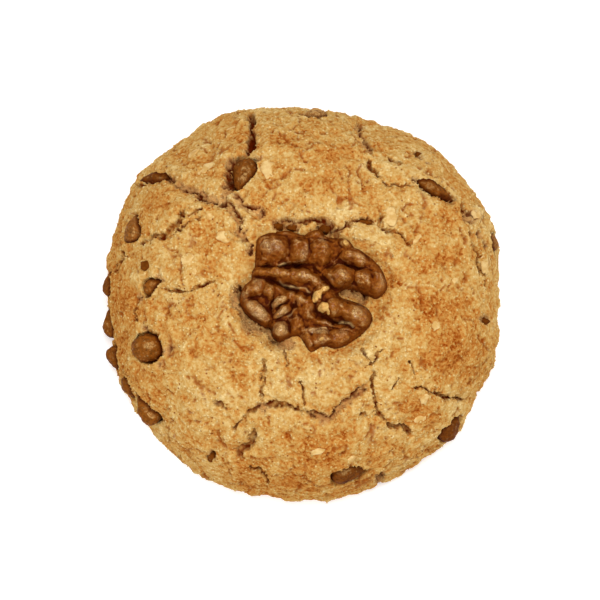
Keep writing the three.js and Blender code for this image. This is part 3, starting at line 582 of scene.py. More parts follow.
class Crust:
    """The dough's surface: a profile turned about Z, with swells, lumps and the walnut's dish."""

    def __init__(self, radius, height):
        self.radius = radius
        knots = [(radius * r, height * z) for r, z in PROFILE_SHARES]
        knots += [(radius, WIDEST_HEIGHT), (LOW_WALL[0] * radius, LOW_WALL[1]), (FOOT_SHARE * radius, 0.0)]
        self.profile = spline_points(knots, PROFILE_STEPS)
        self.slope = np.gradient(self.profile, axis=0)
        self.slope /= np.linalg.norm(self.slope, axis=1)[:, None]
        self.shares = np.linspace(0, 1, PROFILE_STEPS)

    def sample(self, table, along):
        """A table of the profile, read between its rows."""
        return np.stack([np.interp(along, self.shares, table[:, i]) for i in range(2)], -1)

    def at(self, along, angle):
        """Points and outward normals for shares of the profile and angles, in millimetres."""
        side = self.sample(self.profile, along)
        slope = self.sample(self.slope, along)
        degrees = np.degrees(angle) % 360
        swell = np.zeros_like(angle)
        for at, reach, spread in OUTLINE_SWELLS:
            apart = (degrees - at + 180) % 360 - 180
            swell += reach * np.exp(-((apart / spread) ** 2))
        radius = side[..., 0] + swell * (side[..., 0] / self.radius) ** 3
        cos, sin = np.cos(angle), np.sin(angle)
        points = np.stack([radius * cos, radius * sin, side[..., 1]], -1)
        normals = np.stack([-slope[..., 1] * cos, -slope[..., 1] * sin, slope[..., 0]], -1)
        fade = 1 - smooth(along, *RELIEF_FADES)
        x, y = points[..., 0], points[..., 1]
        relief = fade * (waves(x, y, *LUMP) + waves(x, y, *CRAG))
        points = points + normals * relief[..., None]
        out = np.hypot((x - WALNUT_PLACE[0]) / DISH_RADII[0], (y - WALNUT_PLACE[1]) / DISH_RADII[1])
        points[..., 2] -= DISH_DEPTH * (1 - smooth(out, DISH_FLAT, 1))
        return points, normals


def ring_grid(rings):
    """A disc of triangles, ring i having 6 i corners: shares from the middle, angles, faces and the rim."""
    share, angle, faces = [np.zeros(1)], [np.zeros(1)], []
    first = [0]
    for ring in range(1, rings + 1):
        count = 6 * ring
        first.append(first[-1] + max(1, 6 * (ring - 1)))
        share.append(np.full(count, ring / rings))
        angle.append(np.arange(count) * (2 * math.pi / count))
        inner_count = max(1, 6 * (ring - 1))
        for sector in range(6):
            for k in range(ring):
                outer_a = first[ring] + sector * ring + k
                outer_b = first[ring] + (sector * ring + k + 1) % count
                inner_a = first[ring - 1] + (sector * (ring - 1) + k) % inner_count
                faces.append((inner_a, outer_a, outer_b))
                if k < ring - 1:
                    inner_b = first[ring - 1] + (sector * (ring - 1) + k + 1) % inner_count
                    faces.append((inner_a, outer_b, inner_b))
    rim = np.arange(first[rings], first[rings] + 6 * rings)
    return np.concatenate(share), np.concatenate(angle), np.array(faces), rim


def refined(share, angle, faces, marked):
    """Halves the edges of a disc of triangles whose two corners are marked, and joins the new corners up."""
    pairs = np.sort(np.stack([faces, np.roll(faces, -1, axis=1)], 2), axis=2)
    edges, which = np.unique(pairs.reshape(-1, 2), axis=0, return_inverse=True)
    halved = marked[edges].all(axis=1)
    numbers = np.full(len(edges), -1)
    numbers[halved] = len(share) + np.arange(halved.sum())
    place = share * np.exp(1j * angle)
    middle = place[edges[halved]].mean(axis=1)
    new = numbers[which.reshape(-1, 3)]
    count = (new >= 0).sum(axis=1)
    made = [faces[count == 0]]
    for first in range(3):
        turned = np.roll(faces, -first, axis=1)
        halves = np.roll(new, -first, axis=1)
        one = (count == 1) & (halves[:, 0] >= 0)
        two = (count == 2) & (halves[:, 0] < 0)
        a, b, c = turned[one].T
        m = halves[one, 0]
        made += [np.stack(t, 1) for t in ((a, m, c), (m, b, c))]
        a, b, c = turned[two].T
        _, m, n = halves[two].T
        made += [np.stack(t, 1) for t in ((a, b, m), (a, m, n), (n, m, c))]
    a, b, c = faces[count == 3].T
    m, n, o = new[count == 3].T
    made += [np.stack(t, 1) for t in ((a, m, o), (m, b, n), (o, n, c), (m, n, o))]
    return np.append(share, np.abs(middle)), np.append(angle, np.angle(middle)), np.vstack(made)


def path_distance(x, y, path):
    """Distance to a path, the share of it that is nearest, and which side: above nought on the left."""
    path = np.array(path, float)
    spans = np.hypot(*np.diff(path, axis=0).T)
    starts = np.concatenate([[0], np.cumsum(spans)])
    best, share, side = np.full(len(x), FAR), np.zeros(len(x)), np.zeros(len(x))
    for i, span in enumerate(spans):
        ax, ay = path[i]
        dx, dy = (path[i + 1] - path[i]) / span
        run = np.clip((x - ax) * dx + (y - ay) * dy, 0, span)
        off_x, off_y = x - ax - run * dx, y - ay - run * dy
        away = np.hypot(off_x, off_y)
        nearer = away < best
        best = np.where(nearer, away, best)
        share = np.where(nearer, (starts[i] + run) / starts[-1], share)
        side = np.where(nearer, np.sign(dx * (y - ay) - dy * (x - ax)), side)
    return best, share, side


def ring_depth(x, y, ring):
    """How far points lie inside a closed ring, below nought outside it."""
    ring = np.array(ring, float)
    away, _, _ = path_distance(x, y, np.vstack([ring, ring[:1]]))
    within = np.zeros(len(x), bool)
    for (ax, ay), (bx, by) in zip(ring, np.roll(ring, -1, axis=0)):
        crosses = (ay > y) != (by > y)
        rise = by - ay if by != ay else 1.0
        within ^= crosses & (x < ax + (y - ay) * (bx - ax) / rise)
    return np.where(within, away, -away)


def walnut_ring():
    """The walnut half's outline in plan as a closed ring of points about its place."""
    return spline_points(WALNUT_OUTLINE + WALNUT_OUTLINE[:1], WALNUT_RING_STEPS, closed=True)[:-1]


def walnut_depth(points):
    """How far points of the crust lie inside the walnut half's outline in plan, below nought outside it."""
    x, y, _ = ((points - WALNUT_PLACE) / WALNUT_STRETCH).T
    return ring_depth(x, y, walnut_ring())


def domes(x, y, spots):
    """Rounded mounds, each with a place, two radii, a turn in degrees and a height, as one soft union."""
    total = np.zeros(len(x))
    for px, py, long_radius, short_radius, turn, height in spots:
        cos, sin = math.cos(math.radians(turn)), math.sin(math.radians(turn))
        u = ((x - px) * cos + (y - py) * sin) / long_radius
        v = ((y - py) * cos - (x - px) * sin) / short_radius
        total += (height * np.maximum(0.0, 1 - 0.7 * (u * u + v * v)) ** 0.8) ** 4
    return total ** 0.25


def walnut_surface(x, y):
    """Height of the kernel's top about its place, its skin lines, its torn flesh and its outline's depth."""
    depth = ring_depth(x, y, walnut_ring())
    share = np.clip(depth / WALNUT_EDGE, 0, 1)
    rounding = np.sqrt(1 - (1 - share) ** 2)
    swell, skin = np.ones(len(x)), np.zeros(len(x))
    plane = np.stack([x, y, np.zeros(len(x))], 1)
    sway_x = x + 0.3 * noise(plane, 1.5, 51)
    sway_y = y + 0.3 * noise(plane, 1.5, 52)
    uneven = np.clip(0.75 + 0.7 * noise(plane, 2.2, 53), 0.2, 1.2)
    for width, deep, path in WALNUT_GROOVES.values():
        away, along, _ = path_distance(sway_x, sway_y, path)
        taper = 0.4 + 0.6 * smooth(along, 0, 0.2) * smooth(along, 1, 0.8)
        part = np.clip(away / (1.2 + 1.4 * width), 0, 1)
        pinch = min(1.0, GROOVE_SHARE * deep) * taper * uneven
        round_share = 1 - np.sqrt(1 - (1 - part) ** 2)
        swell = np.minimum(swell, 1 - pinch * (0.85 * round_share + 0.15 * (1 - smooth(part, 0, 1))))
    for path in WALNUT_SKINS.values():
        away, along, _ = path_distance(sway_x, sway_y, path)
        skin = np.maximum(skin, np.exp(-((away / 0.15) ** 2)) * smooth(along, 0, 0.1) * smooth(along, 1, 0.9))
    skin *= np.clip(0.6 + noise(plane, 0.9, 54), 0, 1)
    lumps = 0.3 * noise(plane, 2.3, 55) + 0.3 * (0.35 - np.abs(noise(plane, 1.9, 56)))
    mounds = domes(sway_x, sway_y, WALNUT_BUMPS)
    crown = WALNUT_CROWN * (1 - 0.2 * (x * x + y * y) / 170)
    torn = np.clip(domes(sway_x, sway_y, WALNUT_FLESH) + 0.3 * noise(plane, 0.8, 57), 0, 1)
    crags = 0.5 + 0.7 * np.abs(noise(plane, 1.3, 58)) + 0.25 * noise(plane, 0.6, 59)
    lobes = (crown * swell + 1.4 * mounds + lumps) * rounding
    height = WALNUT_RIM + lobes + 0.22 * skin + 0.5 * smooth(torn, 0.4, 0.7) * crags
    return height, skin, torn, depth


def averaged(values, edges, count, rounds):
    """Values on a mesh's corners, each evened out with its neighbours a few times."""
    a, b = edges[:, 0], edges[:, 1]
    share = np.bincount(a, minlength=count) + np.bincount(b, minlength=count) + 1.0
    for _ in range(rounds):
        near = np.bincount(a, values[b], count) + np.bincount(b, values[a], count)
        values = (values + near) / share
    return values


def face_sides(faces):
    """The sides of an array of triangles, each in its face's direction."""
    return np.vstack([faces[:, [0, 1]], faces[:, [1, 2]], faces[:, [2, 0]]])


def mesh_edges(faces):
    """The edges of an array of triangles, each once."""
    return np.unique(np.sort(face_sides(faces), axis=1), axis=0)


def merged_node(name):
    """A CAD node's corners and faces, with its loose triangles joined, in millimetres."""
    work = bmesh.new()
    work.from_mesh(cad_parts[name].data)
    bmesh.ops.remove_doubles(work, verts=work.verts, dist=MERGE_DISTANCE)
    work.verts.index_update()
    points = np.array([corner.co for corner in work.verts]) / MM
    faces = [[corner.index for corner in face.verts] for face in work.faces]
    work.free()
    return points, faces


def add_object(name, data):
    """An object in the scene."""
    made = bpy.data.objects.new(name, data)
    bpy.context.scene.collection.objects.link(made)
    return made


def keep_values(mesh, values):
    """Keeps values on a mesh's corners by name."""
    for name, numbers in values.items():
        layer = mesh.attributes.new(name, "FLOAT", "POINT")
        layer.data.foreach_set("value", np.asarray(numbers, np.float32))


def make_mesh(name, points, faces, values=None):
    """A smooth-shaded object from corners in millimetres, with values kept on its corners by name."""
    mesh = bpy.data.meshes.new(name)
    mesh.from_pydata((np.asarray(points) * MM).tolist(), [], [list(map(int, f)) for f in faces])
    mesh.validate()
    keep_values(mesh, values or {})
    mesh.shade_smooth()
    return add_object(name, mesh)


def make_strewn(name, work, material):
    """A smooth-shaded object from a work mesh of many small shapes."""
    mesh = bpy.data.meshes.new(name)
    work.to_mesh(mesh)
    work.free()
    mesh.shade_smooth()
    mesh.materials.append(material)
    return add_object(name, mesh)


def crust_tree():
    """The finished crust, to cast rays at."""
    return BVHTree.FromObject(bpy.data.objects["dough_crust"], bpy.context.evaluated_depsgraph_get())


def crust_spot(crust, x, y):
    """The crust's point at a place in plan, given in millimetres."""
    spot = crust.ray_cast(Vector((x * MM, y * MM, RAY_START)), DOWN)[0]
    if spot is None:
        raise RuntimeError("a small piece misses the crust")
    return spot


def settle(piece):
    """Turns a piece with modifiers into a plain mesh."""
    bpy.context.view_layer.update()
    graph = bpy.context.evaluated_depsgraph_get()
    made = piece.evaluated_get(graph)
    mesh = bpy.data.meshes.new_from_object(made, preserve_all_data_layers=True, depsgraph=graph)
    piece.modifiers.clear()
    old = piece.data
    piece.data = mesh
    bpy.data.meshes.remove(old)
    mesh.name = piece.name
    return piece


def run_tree(piece, tree, values):
    """Runs a geometry node tree once on a piece, its inputs given by name."""
    modifier = piece.modifiers.new(tree.name, "NODES")
    modifier.node_group = tree
    for item in tree.interface.items_tree:
        if item.item_type == "SOCKET" and item.in_out == "INPUT" and item.name in values:
            modifier[item.identifier] = values[item.name]
    return settle(piece)


def finish_piece(piece, nodes=()):
    """Puts a finished piece on the cookie's body."""
    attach(piece, BODY)
    if nodes:
        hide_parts(*nodes)


class Wiring:
    """Adds nodes to a tree and joins them up."""

    def __init__(self, tree):
        self.tree = tree

    def node(self, kind, inputs=None, **options):
        made = self.tree.nodes.new(kind)
        for key, value in options.items():
            setattr(made, key, value)
        for key, value in (inputs or {}).items():
            self.feed(made.inputs[key], value)
        return made

    def feed(self, socket, value):
        if isinstance(value, bpy.types.NodeSocket):
            self.tree.links.new(value, socket)
        else:
            socket.default_value = value

    def math(self, operation, first, second, clamp=False):
        made = self.node("ShaderNodeMath", {0: first, 1: second}, operation=operation, use_clamp=clamp)
        return made.outputs[0]

    def plus(self, first, second, clamp=False):
        return self.math("ADD", first, second, clamp)

    def minus(self, first, second, clamp=False):
        return self.math("SUBTRACT", first, second, clamp)

    def times(self, first, second, clamp=False):
        return self.math("MULTIPLY", first, second, clamp)

    def larger(self, first, second):
        return self.math("MAXIMUM", first, second)

    def between(self, value, low, high, to_low=0.0, to_high=1.0):
        inputs = {"Value": value, "From Min": low, "From Max": high, "To Min": to_low, "To Max": to_high}
        return self.node("ShaderNodeMapRange", inputs, interpolation_type="SMOOTHSTEP").outputs[0]

    def mix(self, amount, first, second):
        made = self.node("ShaderNodeMix", {0: amount}, data_type="RGBA")
        self.feed(made.inputs[6], first)
        self.feed(made.inputs[7], second)
        return made.outputs[2]

    def noise(self, vector, scale, detail, roughness):
        inputs = {"Vector": vector, "Scale": scale, "Detail": detail, "Roughness": roughness}
        return self.node("ShaderNodeTexNoise", inputs).outputs[0]

    def cells(self, vector, scale, feature="F1"):
        return self.node("ShaderNodeTexVoronoi", {"Vector": vector, "Scale": scale}, feature=feature)

    def some_cells(self, vector, scale, least, outer, inner):
        """Round spots in some of a texture's cells: those whose own random value is above the least one."""
        cells = self.cells(vector, scale).outputs
        draw = self.node("ShaderNodeSeparateColor", {"Color": cells["Color"]}).outputs["Red"]
        chosen = self.math("GREATER_THAN", draw, least)
        return self.times(self.between(cells["Distance"], outer, inner), chosen)

    def attribute(self, name):
        """A value kept on a mesh's corners, for a material."""
        return self.node("ShaderNodeAttribute", attribute_name=name).outputs["Fac"]

    def named_value(self, name):
        """A value kept on a mesh's corners, for a geometry tree."""
        return self.node("GeometryNodeInputNamedAttribute", {"Name": name}, data_type="FLOAT").outputs[0]

    def keep_value(self, geometry, name, value):
        """A geometry with a value kept on its points by name."""
        inputs = {"Geometry": geometry, "Name": name, "Value": value}
        made = self.node("GeometryNodeStoreNamedAttribute", inputs, data_type="FLOAT", domain="POINT")
        return made.outputs[0]

    def scaled(self, vector, scale):
        return self.node("ShaderNodeVectorMath", {0: vector, "Scale": scale}, operation="SCALE").outputs[0]

    def random_vector(self, low, high, seed):
        inputs = {0: low, 1: high, "Seed": seed}
        return self.node("FunctionNodeRandomValue", inputs, data_type="FLOAT_VECTOR").outputs[0]

    def made_solid(self, geometry, material):
        """The end of a geometry tree: its instances made real, and its material set."""
        solid = self.node("GeometryNodeRealizeInstances", {"Geometry": geometry}).outputs[0]
        return self.node("GeometryNodeSetMaterial", {"Geometry": solid, "Material": material}).outputs[0]


def per(millimetres):
    """The scale of a texture whose features are this large."""
    return 1.0 / (millimetres * MM)


def opaque(colour):
    """A colour with nothing see-through."""
    return (colour[0], colour[1], colour[2], 1.0)


def new_group(name, kind, inputs, outputs):
    """A node group with named sockets, and its input and output nodes."""
    tree = bpy.data.node_groups.new(name, kind)
    for title, socket, default in inputs:
        made = tree.interface.new_socket(title, in_out="INPUT", socket_type=socket)
        if default is not None:
            made.default_value = default
    for title, socket in outputs:
        tree.interface.new_socket(title, in_out="OUTPUT", socket_type=socket)
    wiring = Wiring(tree)
    return tree, wiring, wiring.node("NodeGroupInput").outputs, wiring.node("NodeGroupOutput").inputs


def new_shader_group(name, size, outputs):
    """A shader group that takes a place and a scale, and puts out values by name."""
    return new_group(
        name, "ShaderNodeTree",
        [("Vector", "NodeSocketVector", None), ("Scale", "NodeSocketFloat", per(size))],
        [(title, "NodeSocketFloat") for title in outputs],
    )


def crumb_speckle_group(name):
    """Fine crumb: cream dots, brown specks, dark pinholes and the height that goes with them."""
    tree, wires, given, put = new_shader_group(name, 0.6, ("Pale", "Brown", "Pits", "Low", "Height"))
    vector, scale = given["Vector"], given["Scale"]
    fine = wires.noise(vector, wires.times(scale, 1.4), 3.0, 0.6)
    coarse = wires.noise(vector, wires.times(scale, 0.7), 3.0, 0.6)
    clusters = wires.noise(vector, wires.times(scale, 0.2), 2.0, 0.5)
    dots = wires.some_cells(vector, scale, 0.45, 0.4, 0.12)
    fewest = wires.between(clusters, 0.4, 0.6, 0.95, 0.6)
    pits = wires.some_cells(vector, wires.times(scale, 0.75), fewest, 0.25, 0.08)
    wires.feed(put["Pale"], dots)
    wires.feed(put["Brown"], wires.between(coarse, 0.5, 0.66))
    wires.feed(put["Pits"], pits)
    wires.feed(put["Low"], wires.between(fine, 0.7, 0.3))
    mound = wires.plus(wires.times(fine, 0.7), wires.times(dots, 0.25))
    wires.feed(put["Height"], wires.minus(mound, wires.times(pits, 0.3)))
    return tree


def skin_mottle_group(name):
    """Soft mottling and fine streaks, for nut skin and for chocolate."""
    tree, wires, given, put = new_shader_group(name, 2.0, ("Mottle", "Streaks", "Height"))
    vector, scale = given["Vector"], given["Scale"]
    soft = wires.noise(vector, scale, 3.0, 0.55)
    inputs = {"Vector": vector, "Scale": wires.times(scale, 2.6), "Detail": 3.0, "Distortion": 1.6}
    bent = wires.node("ShaderNodeTexNoise", inputs).outputs[0]
    wires.feed(put["Mottle"], wires.between(soft, 0.36, 0.66))
    wires.feed(put["Streaks"], wires.between(bent, 0.42, 0.68))
    wires.feed(put["Height"], wires.plus(wires.times(soft, 0.5), bent))
    return tree


SHADER_GROUPS = {"Crumb Speckle": crumb_speckle_group, "Skin Mottle": skin_mottle_group}


def new_material(name):
    """A material with its shader, its output and Object coordinates."""
    material = bpy.data.materials.new(name)
    material.use_nodes = True
    material.node_tree.nodes.clear()
    wires = Wiring(material.node_tree)
    shader = wires.node("ShaderNodeBsdfPrincipled")
    wires.node("ShaderNodeOutputMaterial", {"Surface": shader.outputs[0]})
    vector = wires.node("ShaderNodeTexCoord").outputs["Object"]
    return material, wires, shader.inputs, vector


def place_group(wires, name, vector, size):
    """A shared shader group, built once, placed in a material with features of its own size."""
    tree = bpy.data.node_groups.get(name) or SHADER_GROUPS[name](name)
    made = wires.node("ShaderNodeGroup", node_tree=tree)
    wires.feed(made.inputs["Vector"], vector)
    made.inputs["Scale"].default_value = per(size)
    return made.outputs


def bump(wires, height, strength, distance):
    """A bumped normal, its height given in millimetres."""
    inputs = {"Height": height, "Strength": strength, "Distance": distance * MM}
    return wires.node("ShaderNodeBump", inputs).outputs[0]


def bake_ramp(wires, bake, settings):
    """The crust's colour by how far it is baked, from 0, pale crumb, to 1, brown."""
    ramp = wires.node("ShaderNodeValToRGB", {"Fac": bake})
    stops = [
        (0.0, settings.cream), (0.22, settings.pale), (0.5, settings.golden), (0.76, settings.toasted),
        (1.0, settings.brown),
    ]
    elements = ramp.color_ramp.elements
    elements[0].position = stops[0][0]
    elements[1].position = stops[-1][0]
    for position, _ in stops[1:-1]:
        elements.new(position)
    for element, (_, colour) in zip(elements, stops):
        element.color = opaque(colour)
    return ramp.outputs["Color"]


def crust_material(settings):
    """Golden baked crust: toasted patches, pale crumb, brown specks, and painted shade in pits, creases,
    hollows and cracks.
    """
    material, wires, shader, vector = new_material("golden_crust")
    speckle = place_group(wires, "Crumb Speckle", vector, SPECKLE_SIZE)
    # Baked patches and painted shade darken the crust here.
    bake = wires.plus(wires.times(wires.attribute("toast_and_shade"), 0.3), 0.46)
    bake = wires.minus(bake, wires.times(wires.attribute("pale"), 0.09))
    even = wires.between(wires.attribute("toast_and_shade"), 0.0, 0.9, 1.0, 0.5)
    for size, amount in ((9.0, 0.24), (3.2, 0.26), (1.0, 0.26)):
        patch = wires.between(wires.noise(vector, per(size), 2.0, 0.6), 0.25, 0.75, -amount / 2, amount / 2)
        bake = wires.plus(bake, wires.times(patch, even))
    bake = wires.plus(bake, wires.times(speckle["Brown"], 0.1))
    # Painted shade: the crumb's low spots are painted darker and redder.
    bake = wires.plus(bake, wires.between(speckle["Low"], 0.0, 1.0, -0.13, 0.19))
    bake = wires.minus(bake, wires.times(speckle["Pale"], 0.4))
    bake = wires.minus(bake, wires.times(wires.attribute("loose"), 0.22))
    bake = wires.minus(bake, wires.times(wires.attribute("grain"), 0.14), clamp=True)
    colour = bake_ramp(wires, bake, settings)
    lightness = wires.between(wires.attribute("loose"), 0.0, 0.4, 0.7, 1.0)
    rubble = wires.mix(lightness, opaque(settings.brown), opaque(settings.floor))
    colour = wires.mix(wires.times(wires.attribute("floor"), 0.65), colour, rubble)
    # Painted shade in pinholes and hairline creases, which take the brown colour.
    crease = wires.times(wires.attribute("crease"), 0.8)
    dark = wires.larger(wires.times(speckle["Pits"], 0.9), crease)
    colour = wires.mix(dark, colour, opaque(settings.brown))
    # Painted shade: where the value named hollow is high, the crust is painted the deep colour.
    colour = wires.mix(wires.attribute("hollow"), colour, opaque(settings.deep))
    wires.feed(shader["Base Color"], colour)
    wires.feed(shader["Roughness"], wires.between(speckle["Pale"], 0.0, 1.0, 0.8, 0.6))
    shader["Specular IOR Level"].default_value = 0.0
    wires.feed(shader["Normal"], bump(wires, speckle["Height"], 1.0, 0.38))
    return material


def walnut_material(settings):
    """Brown kernel skin: red-brown grooves with painted shade, painted amber and cream highlights on the
    lobes, pale skins, torn pale flesh and an oily shine.
    """
    material, wires, shader, vector = new_material("walnut_skin")
    mottle = place_group(wires, "Skin Mottle", vector, 1.8)
    speckle = place_group(wires, "Crumb Speckle", vector, SPECKLE_SIZE)
    fine = place_group(wires, "Skin Mottle", vector, 0.8)
    tone = wires.plus(wires.times(mottle["Mottle"], 0.35), wires.times(fine["Mottle"], 0.3))
    # Darker skin and painted shade in the grooves take the groove colour.
    tone = wires.plus(tone, wires.attribute("groove"), clamp=True)
    colour = wires.mix(tone, opaque(settings.skin), opaque(settings.groove))
    # Painted highlight: the ridges are painted amber, broken by streaks.
    bloom = wires.times(wires.attribute("ridge"), wires.between(mottle["Streaks"], 0.0, 1.0, 0.25, 0.85))
    colour = wires.mix(bloom, colour, opaque(settings.bloom))
    thin = place_group(wires, "Skin Mottle", vector, 0.5)
    streaks = wires.between(fine["Streaks"], 0.1, 0.6, 0.35, 1.0)
    streaks = wires.times(streaks, wires.between(thin["Streaks"], 0.1, 0.6, 0.4, 1.1))
    # Painted highlight: cream sheen where the value named sheen is high, broken by streaks.
    cream_sheen = wires.times(wires.between(wires.attribute("sheen"), 0.0, 0.9), streaks, clamp=True)
    colour = wires.mix(cream_sheen, colour, opaque(settings.cream_sheen))
    colour = wires.mix(wires.times(wires.attribute("skin"), 0.6), colour, opaque(settings.cream_sheen))
    torn = wires.between(wires.attribute("flesh"), 0.45, 0.65)
    flesh = wires.mix(wires.times(mottle["Streaks"], 0.7), opaque(settings.flesh), opaque(settings.bloom))
    colour = wires.mix(torn, colour, flesh)
    wires.feed(shader["Base Color"], colour)
    shader["Roughness"].default_value = 0.6
    shader["Specular IOR Level"].default_value = 0.05
    shine = wires.between(wires.attribute("sheen"), 0.1, 0.6, 0.0, 0.7)
    gloss = wires.between(wires.attribute("ridge"), 0.3, 0.9, 0.0, 0.35)
    wires.feed(shader["Coat Weight"], wires.larger(shine, gloss))
    shader["Coat Roughness"].default_value = 0.16
    relief = wires.plus(mottle["Height"], wires.times(fine["Height"], 0.5))
    relief = wires.plus(relief, wires.times(speckle["Height"], wires.times(torn, 0.8)))
    wires.feed(shader["Normal"], bump(wires, relief, 0.7, 0.2))
    return material


def chocolate_material(settings):
    """Milk chocolate with a dull bloom, flour dust and a painted highlight where the piece says so, and
    painted shade where it lies deep.
    """
    material, wires, shader, vector = new_material("milk_chocolate")
    mottle = place_group(wires, "Skin Mottle", vector, 1.5)
    speckle = place_group(wires, "Crumb Speckle", vector, SPECKLE_SIZE)
    dark = opaque([0.5 * c for c in settings.chocolate])
    low = wires.between(speckle["Low"], 0.2, 0.9, -0.2, 0.5)
    mottled = wires.larger(wires.plus(wires.times(mottle["Mottle"], 0.5), low), speckle["Pits"])
    colour = wires.mix(wires.math("MINIMUM", mottled, 1.0), opaque(settings.chocolate), dark)
    dust_and_highlight_mask = wires.times(wires.attribute("dust_and_highlight"), wires.between(mottle["Streaks"], 0.0, 0.6, 0.25, 1.0))
    dust_and_highlight_mask = wires.larger(dust_and_highlight_mask, wires.times(speckle["Pale"], 0.4))
    colour = wires.mix(dust_and_highlight_mask, colour, opaque(settings.dust_and_highlight))
    shade = opaque([share * c for share, c in zip(SHADE_SHARES, settings.chocolate)])
    # Painted shade where a chip meets the crust, on deep chips and on the small bits.
    colour = wires.mix(wires.attribute("edge"), colour, shade)
    wires.feed(shader["Base Color"], colour)
    shader["Roughness"].default_value = 0.6
    shader["Specular IOR Level"].default_value = 0.03
    relief = wires.plus(mottle["Height"], speckle["Height"])
    wires.feed(shader["Normal"], bump(wires, relief, 0.8, 0.3))
    return material


def flake_material(settings):
    """Pale toasted nut."""
    material, wires, shader, vector = new_material("nut_flake")
    speckle = place_group(wires, "Crumb Speckle", vector, SPECKLE_SIZE)
    mottle = place_group(wires, "Skin Mottle", vector, 1.4)
    tone = wires.between(mottle["Mottle"], 0.0, 1.0, 0.3, 0.9)
    colour = wires.mix(tone, opaque(settings.cream), opaque(settings.golden))
    colour = wires.mix(wires.times(speckle["Brown"], 0.25), colour, opaque(settings.toasted))
    wires.feed(shader["Base Color"], colour)
    shader["Roughness"].default_value = 0.7
    shader["Specular IOR Level"].default_value = 0.1
    wires.feed(shader["Normal"], bump(wires, speckle["Height"], 0.4, 0.2))
    return material


def crumb_relief_tree():
    """Stands the crust's crumbs up from it, where its value named rough allows."""
    tree, wires, given, put = new_group(
        "Crumb Relief", "GeometryNodeTree",
        [("Geometry", "NodeSocketGeometry", None), ("Grain Size", "NodeSocketFloat", 0.001),
         ("Grain Height", "NodeSocketFloat", 0.0003), ("Material", "NodeSocketMaterial", None)],
        [("Geometry", "NodeSocketGeometry")],
    )
    place = wires.node("GeometryNodeInputPosition").outputs[0]
    scale = wires.math("DIVIDE", 1.0, given["Grain Size"])
    lumps = wires.cells(place, scale, "SMOOTH_F1").outputs["Distance"]
    mounds = wires.between(lumps, 0.7, 0.1, -1.0, 1.0)
    fine = wires.noise(place, wires.times(scale, 1.5), 2.0, 0.6)
    fine = wires.between(fine, 0.25, 0.75, -1.0, 1.0)
    grain = wires.plus(wires.times(mounds, 0.5), wires.times(fine, 0.6))
    rise = wires.times(wires.times(grain, given["Grain Height"]), wires.named_value("rough"))
    offset = wires.scaled(wires.node("GeometryNodeInputNormal").outputs[0], rise)
    kept = wires.keep_value(given["Geometry"], "grain", grain)
    moved = wires.node("GeometryNodeSetPosition", {"Geometry": kept, "Offset": offset}).outputs[0]
    wires.feed(put["Geometry"], wires.made_solid(moved, given["Material"]))
    return tree


def crumb_scatter_tree():
    """Strews loose crumbs over the crust, thickest where its value named strew is high."""
    tree, wires, given, put = new_group(
        "Crumb Scatter", "GeometryNodeTree",
        [("Geometry", "NodeSocketGeometry", None), ("Spacing", "NodeSocketFloat", 0.0005),
         ("Density", "NodeSocketFloat", 2e6), ("Size", "NodeSocketFloat", 0.0007),
         ("Seed", "NodeSocketInt", 1), ("Material", "NodeSocketMaterial", None)],
        [("Geometry", "NodeSocketGeometry")],
    )
    inputs = {
        "Mesh": given["Geometry"], "Distance Min": given["Spacing"], "Density Max": given["Density"],
        "Density Factor": wires.named_value("strew"), "Seed": given["Seed"],
    }
    spots = wires.node("GeometryNodeDistributePointsOnFaces", inputs, distribute_method="POISSON")
    crumb = wires.node("GeometryNodeMeshIcoSphere", {"Radius": 0.5, "Subdivisions": 1}).outputs[0]
    place = wires.node("GeometryNodeInputPosition").outputs[0]
    dent = wires.between(wires.noise(place, 2.4, 2.0, 0.6), 0.2, 0.8, 0.55, 1.4)
    inputs = {"Geometry": crumb, "Position": wires.scaled(place, dent)}
    crumb = wires.node("GeometryNodeSetPosition", inputs).outputs[0]
    lightness = wires.node("FunctionNodeRandomValue", {2: 0.2, 3: 1.0, "Seed": 9}, data_type="FLOAT")
    inputs = {
        "Points": wires.keep_value(spots.outputs["Points"], "loose", lightness.outputs[1]), "Instance": crumb,
        "Rotation": wires.random_vector((0.0, 0.0, 0.0), (6.28, 6.28, 6.28), 3),
        "Scale": wires.scaled(wires.random_vector((0.4, 0.4, 0.3), (1.0, 1.0, 0.8), 5), given["Size"]),
    }
    made = wires.node("GeometryNodeInstanceOnPoints", inputs).outputs[0]
    wires.feed(put["Geometry"], wires.made_solid(made, given["Material"]))
    return tree


def torn_places(points):
    """The plan places of crust points, shifted so that what smooth paths draw there comes out jagged."""
    jag = np.stack([0.42 * noise(points, 1.1, n) + 0.25 * noise(points, 0.55, n + 20) for n in (1, 2)], 1)
    sway = np.stack([noise(points, 2.6, n) for n in (3, 4)], 1) * 0.6
    return (points[:, :2] + jag + sway).T


def near_cracks(points, margin, widest):
    """Which points lie within a margin of a crack that is no wider than given."""
    x, y = torn_places(points)
    near = np.zeros(len(points), bool)
    for width, _, _, _, path in CRACKS:
        if width <= widest:
            near |= path_distance(x, y, path)[0] < 0.55 * width + margin
    return near


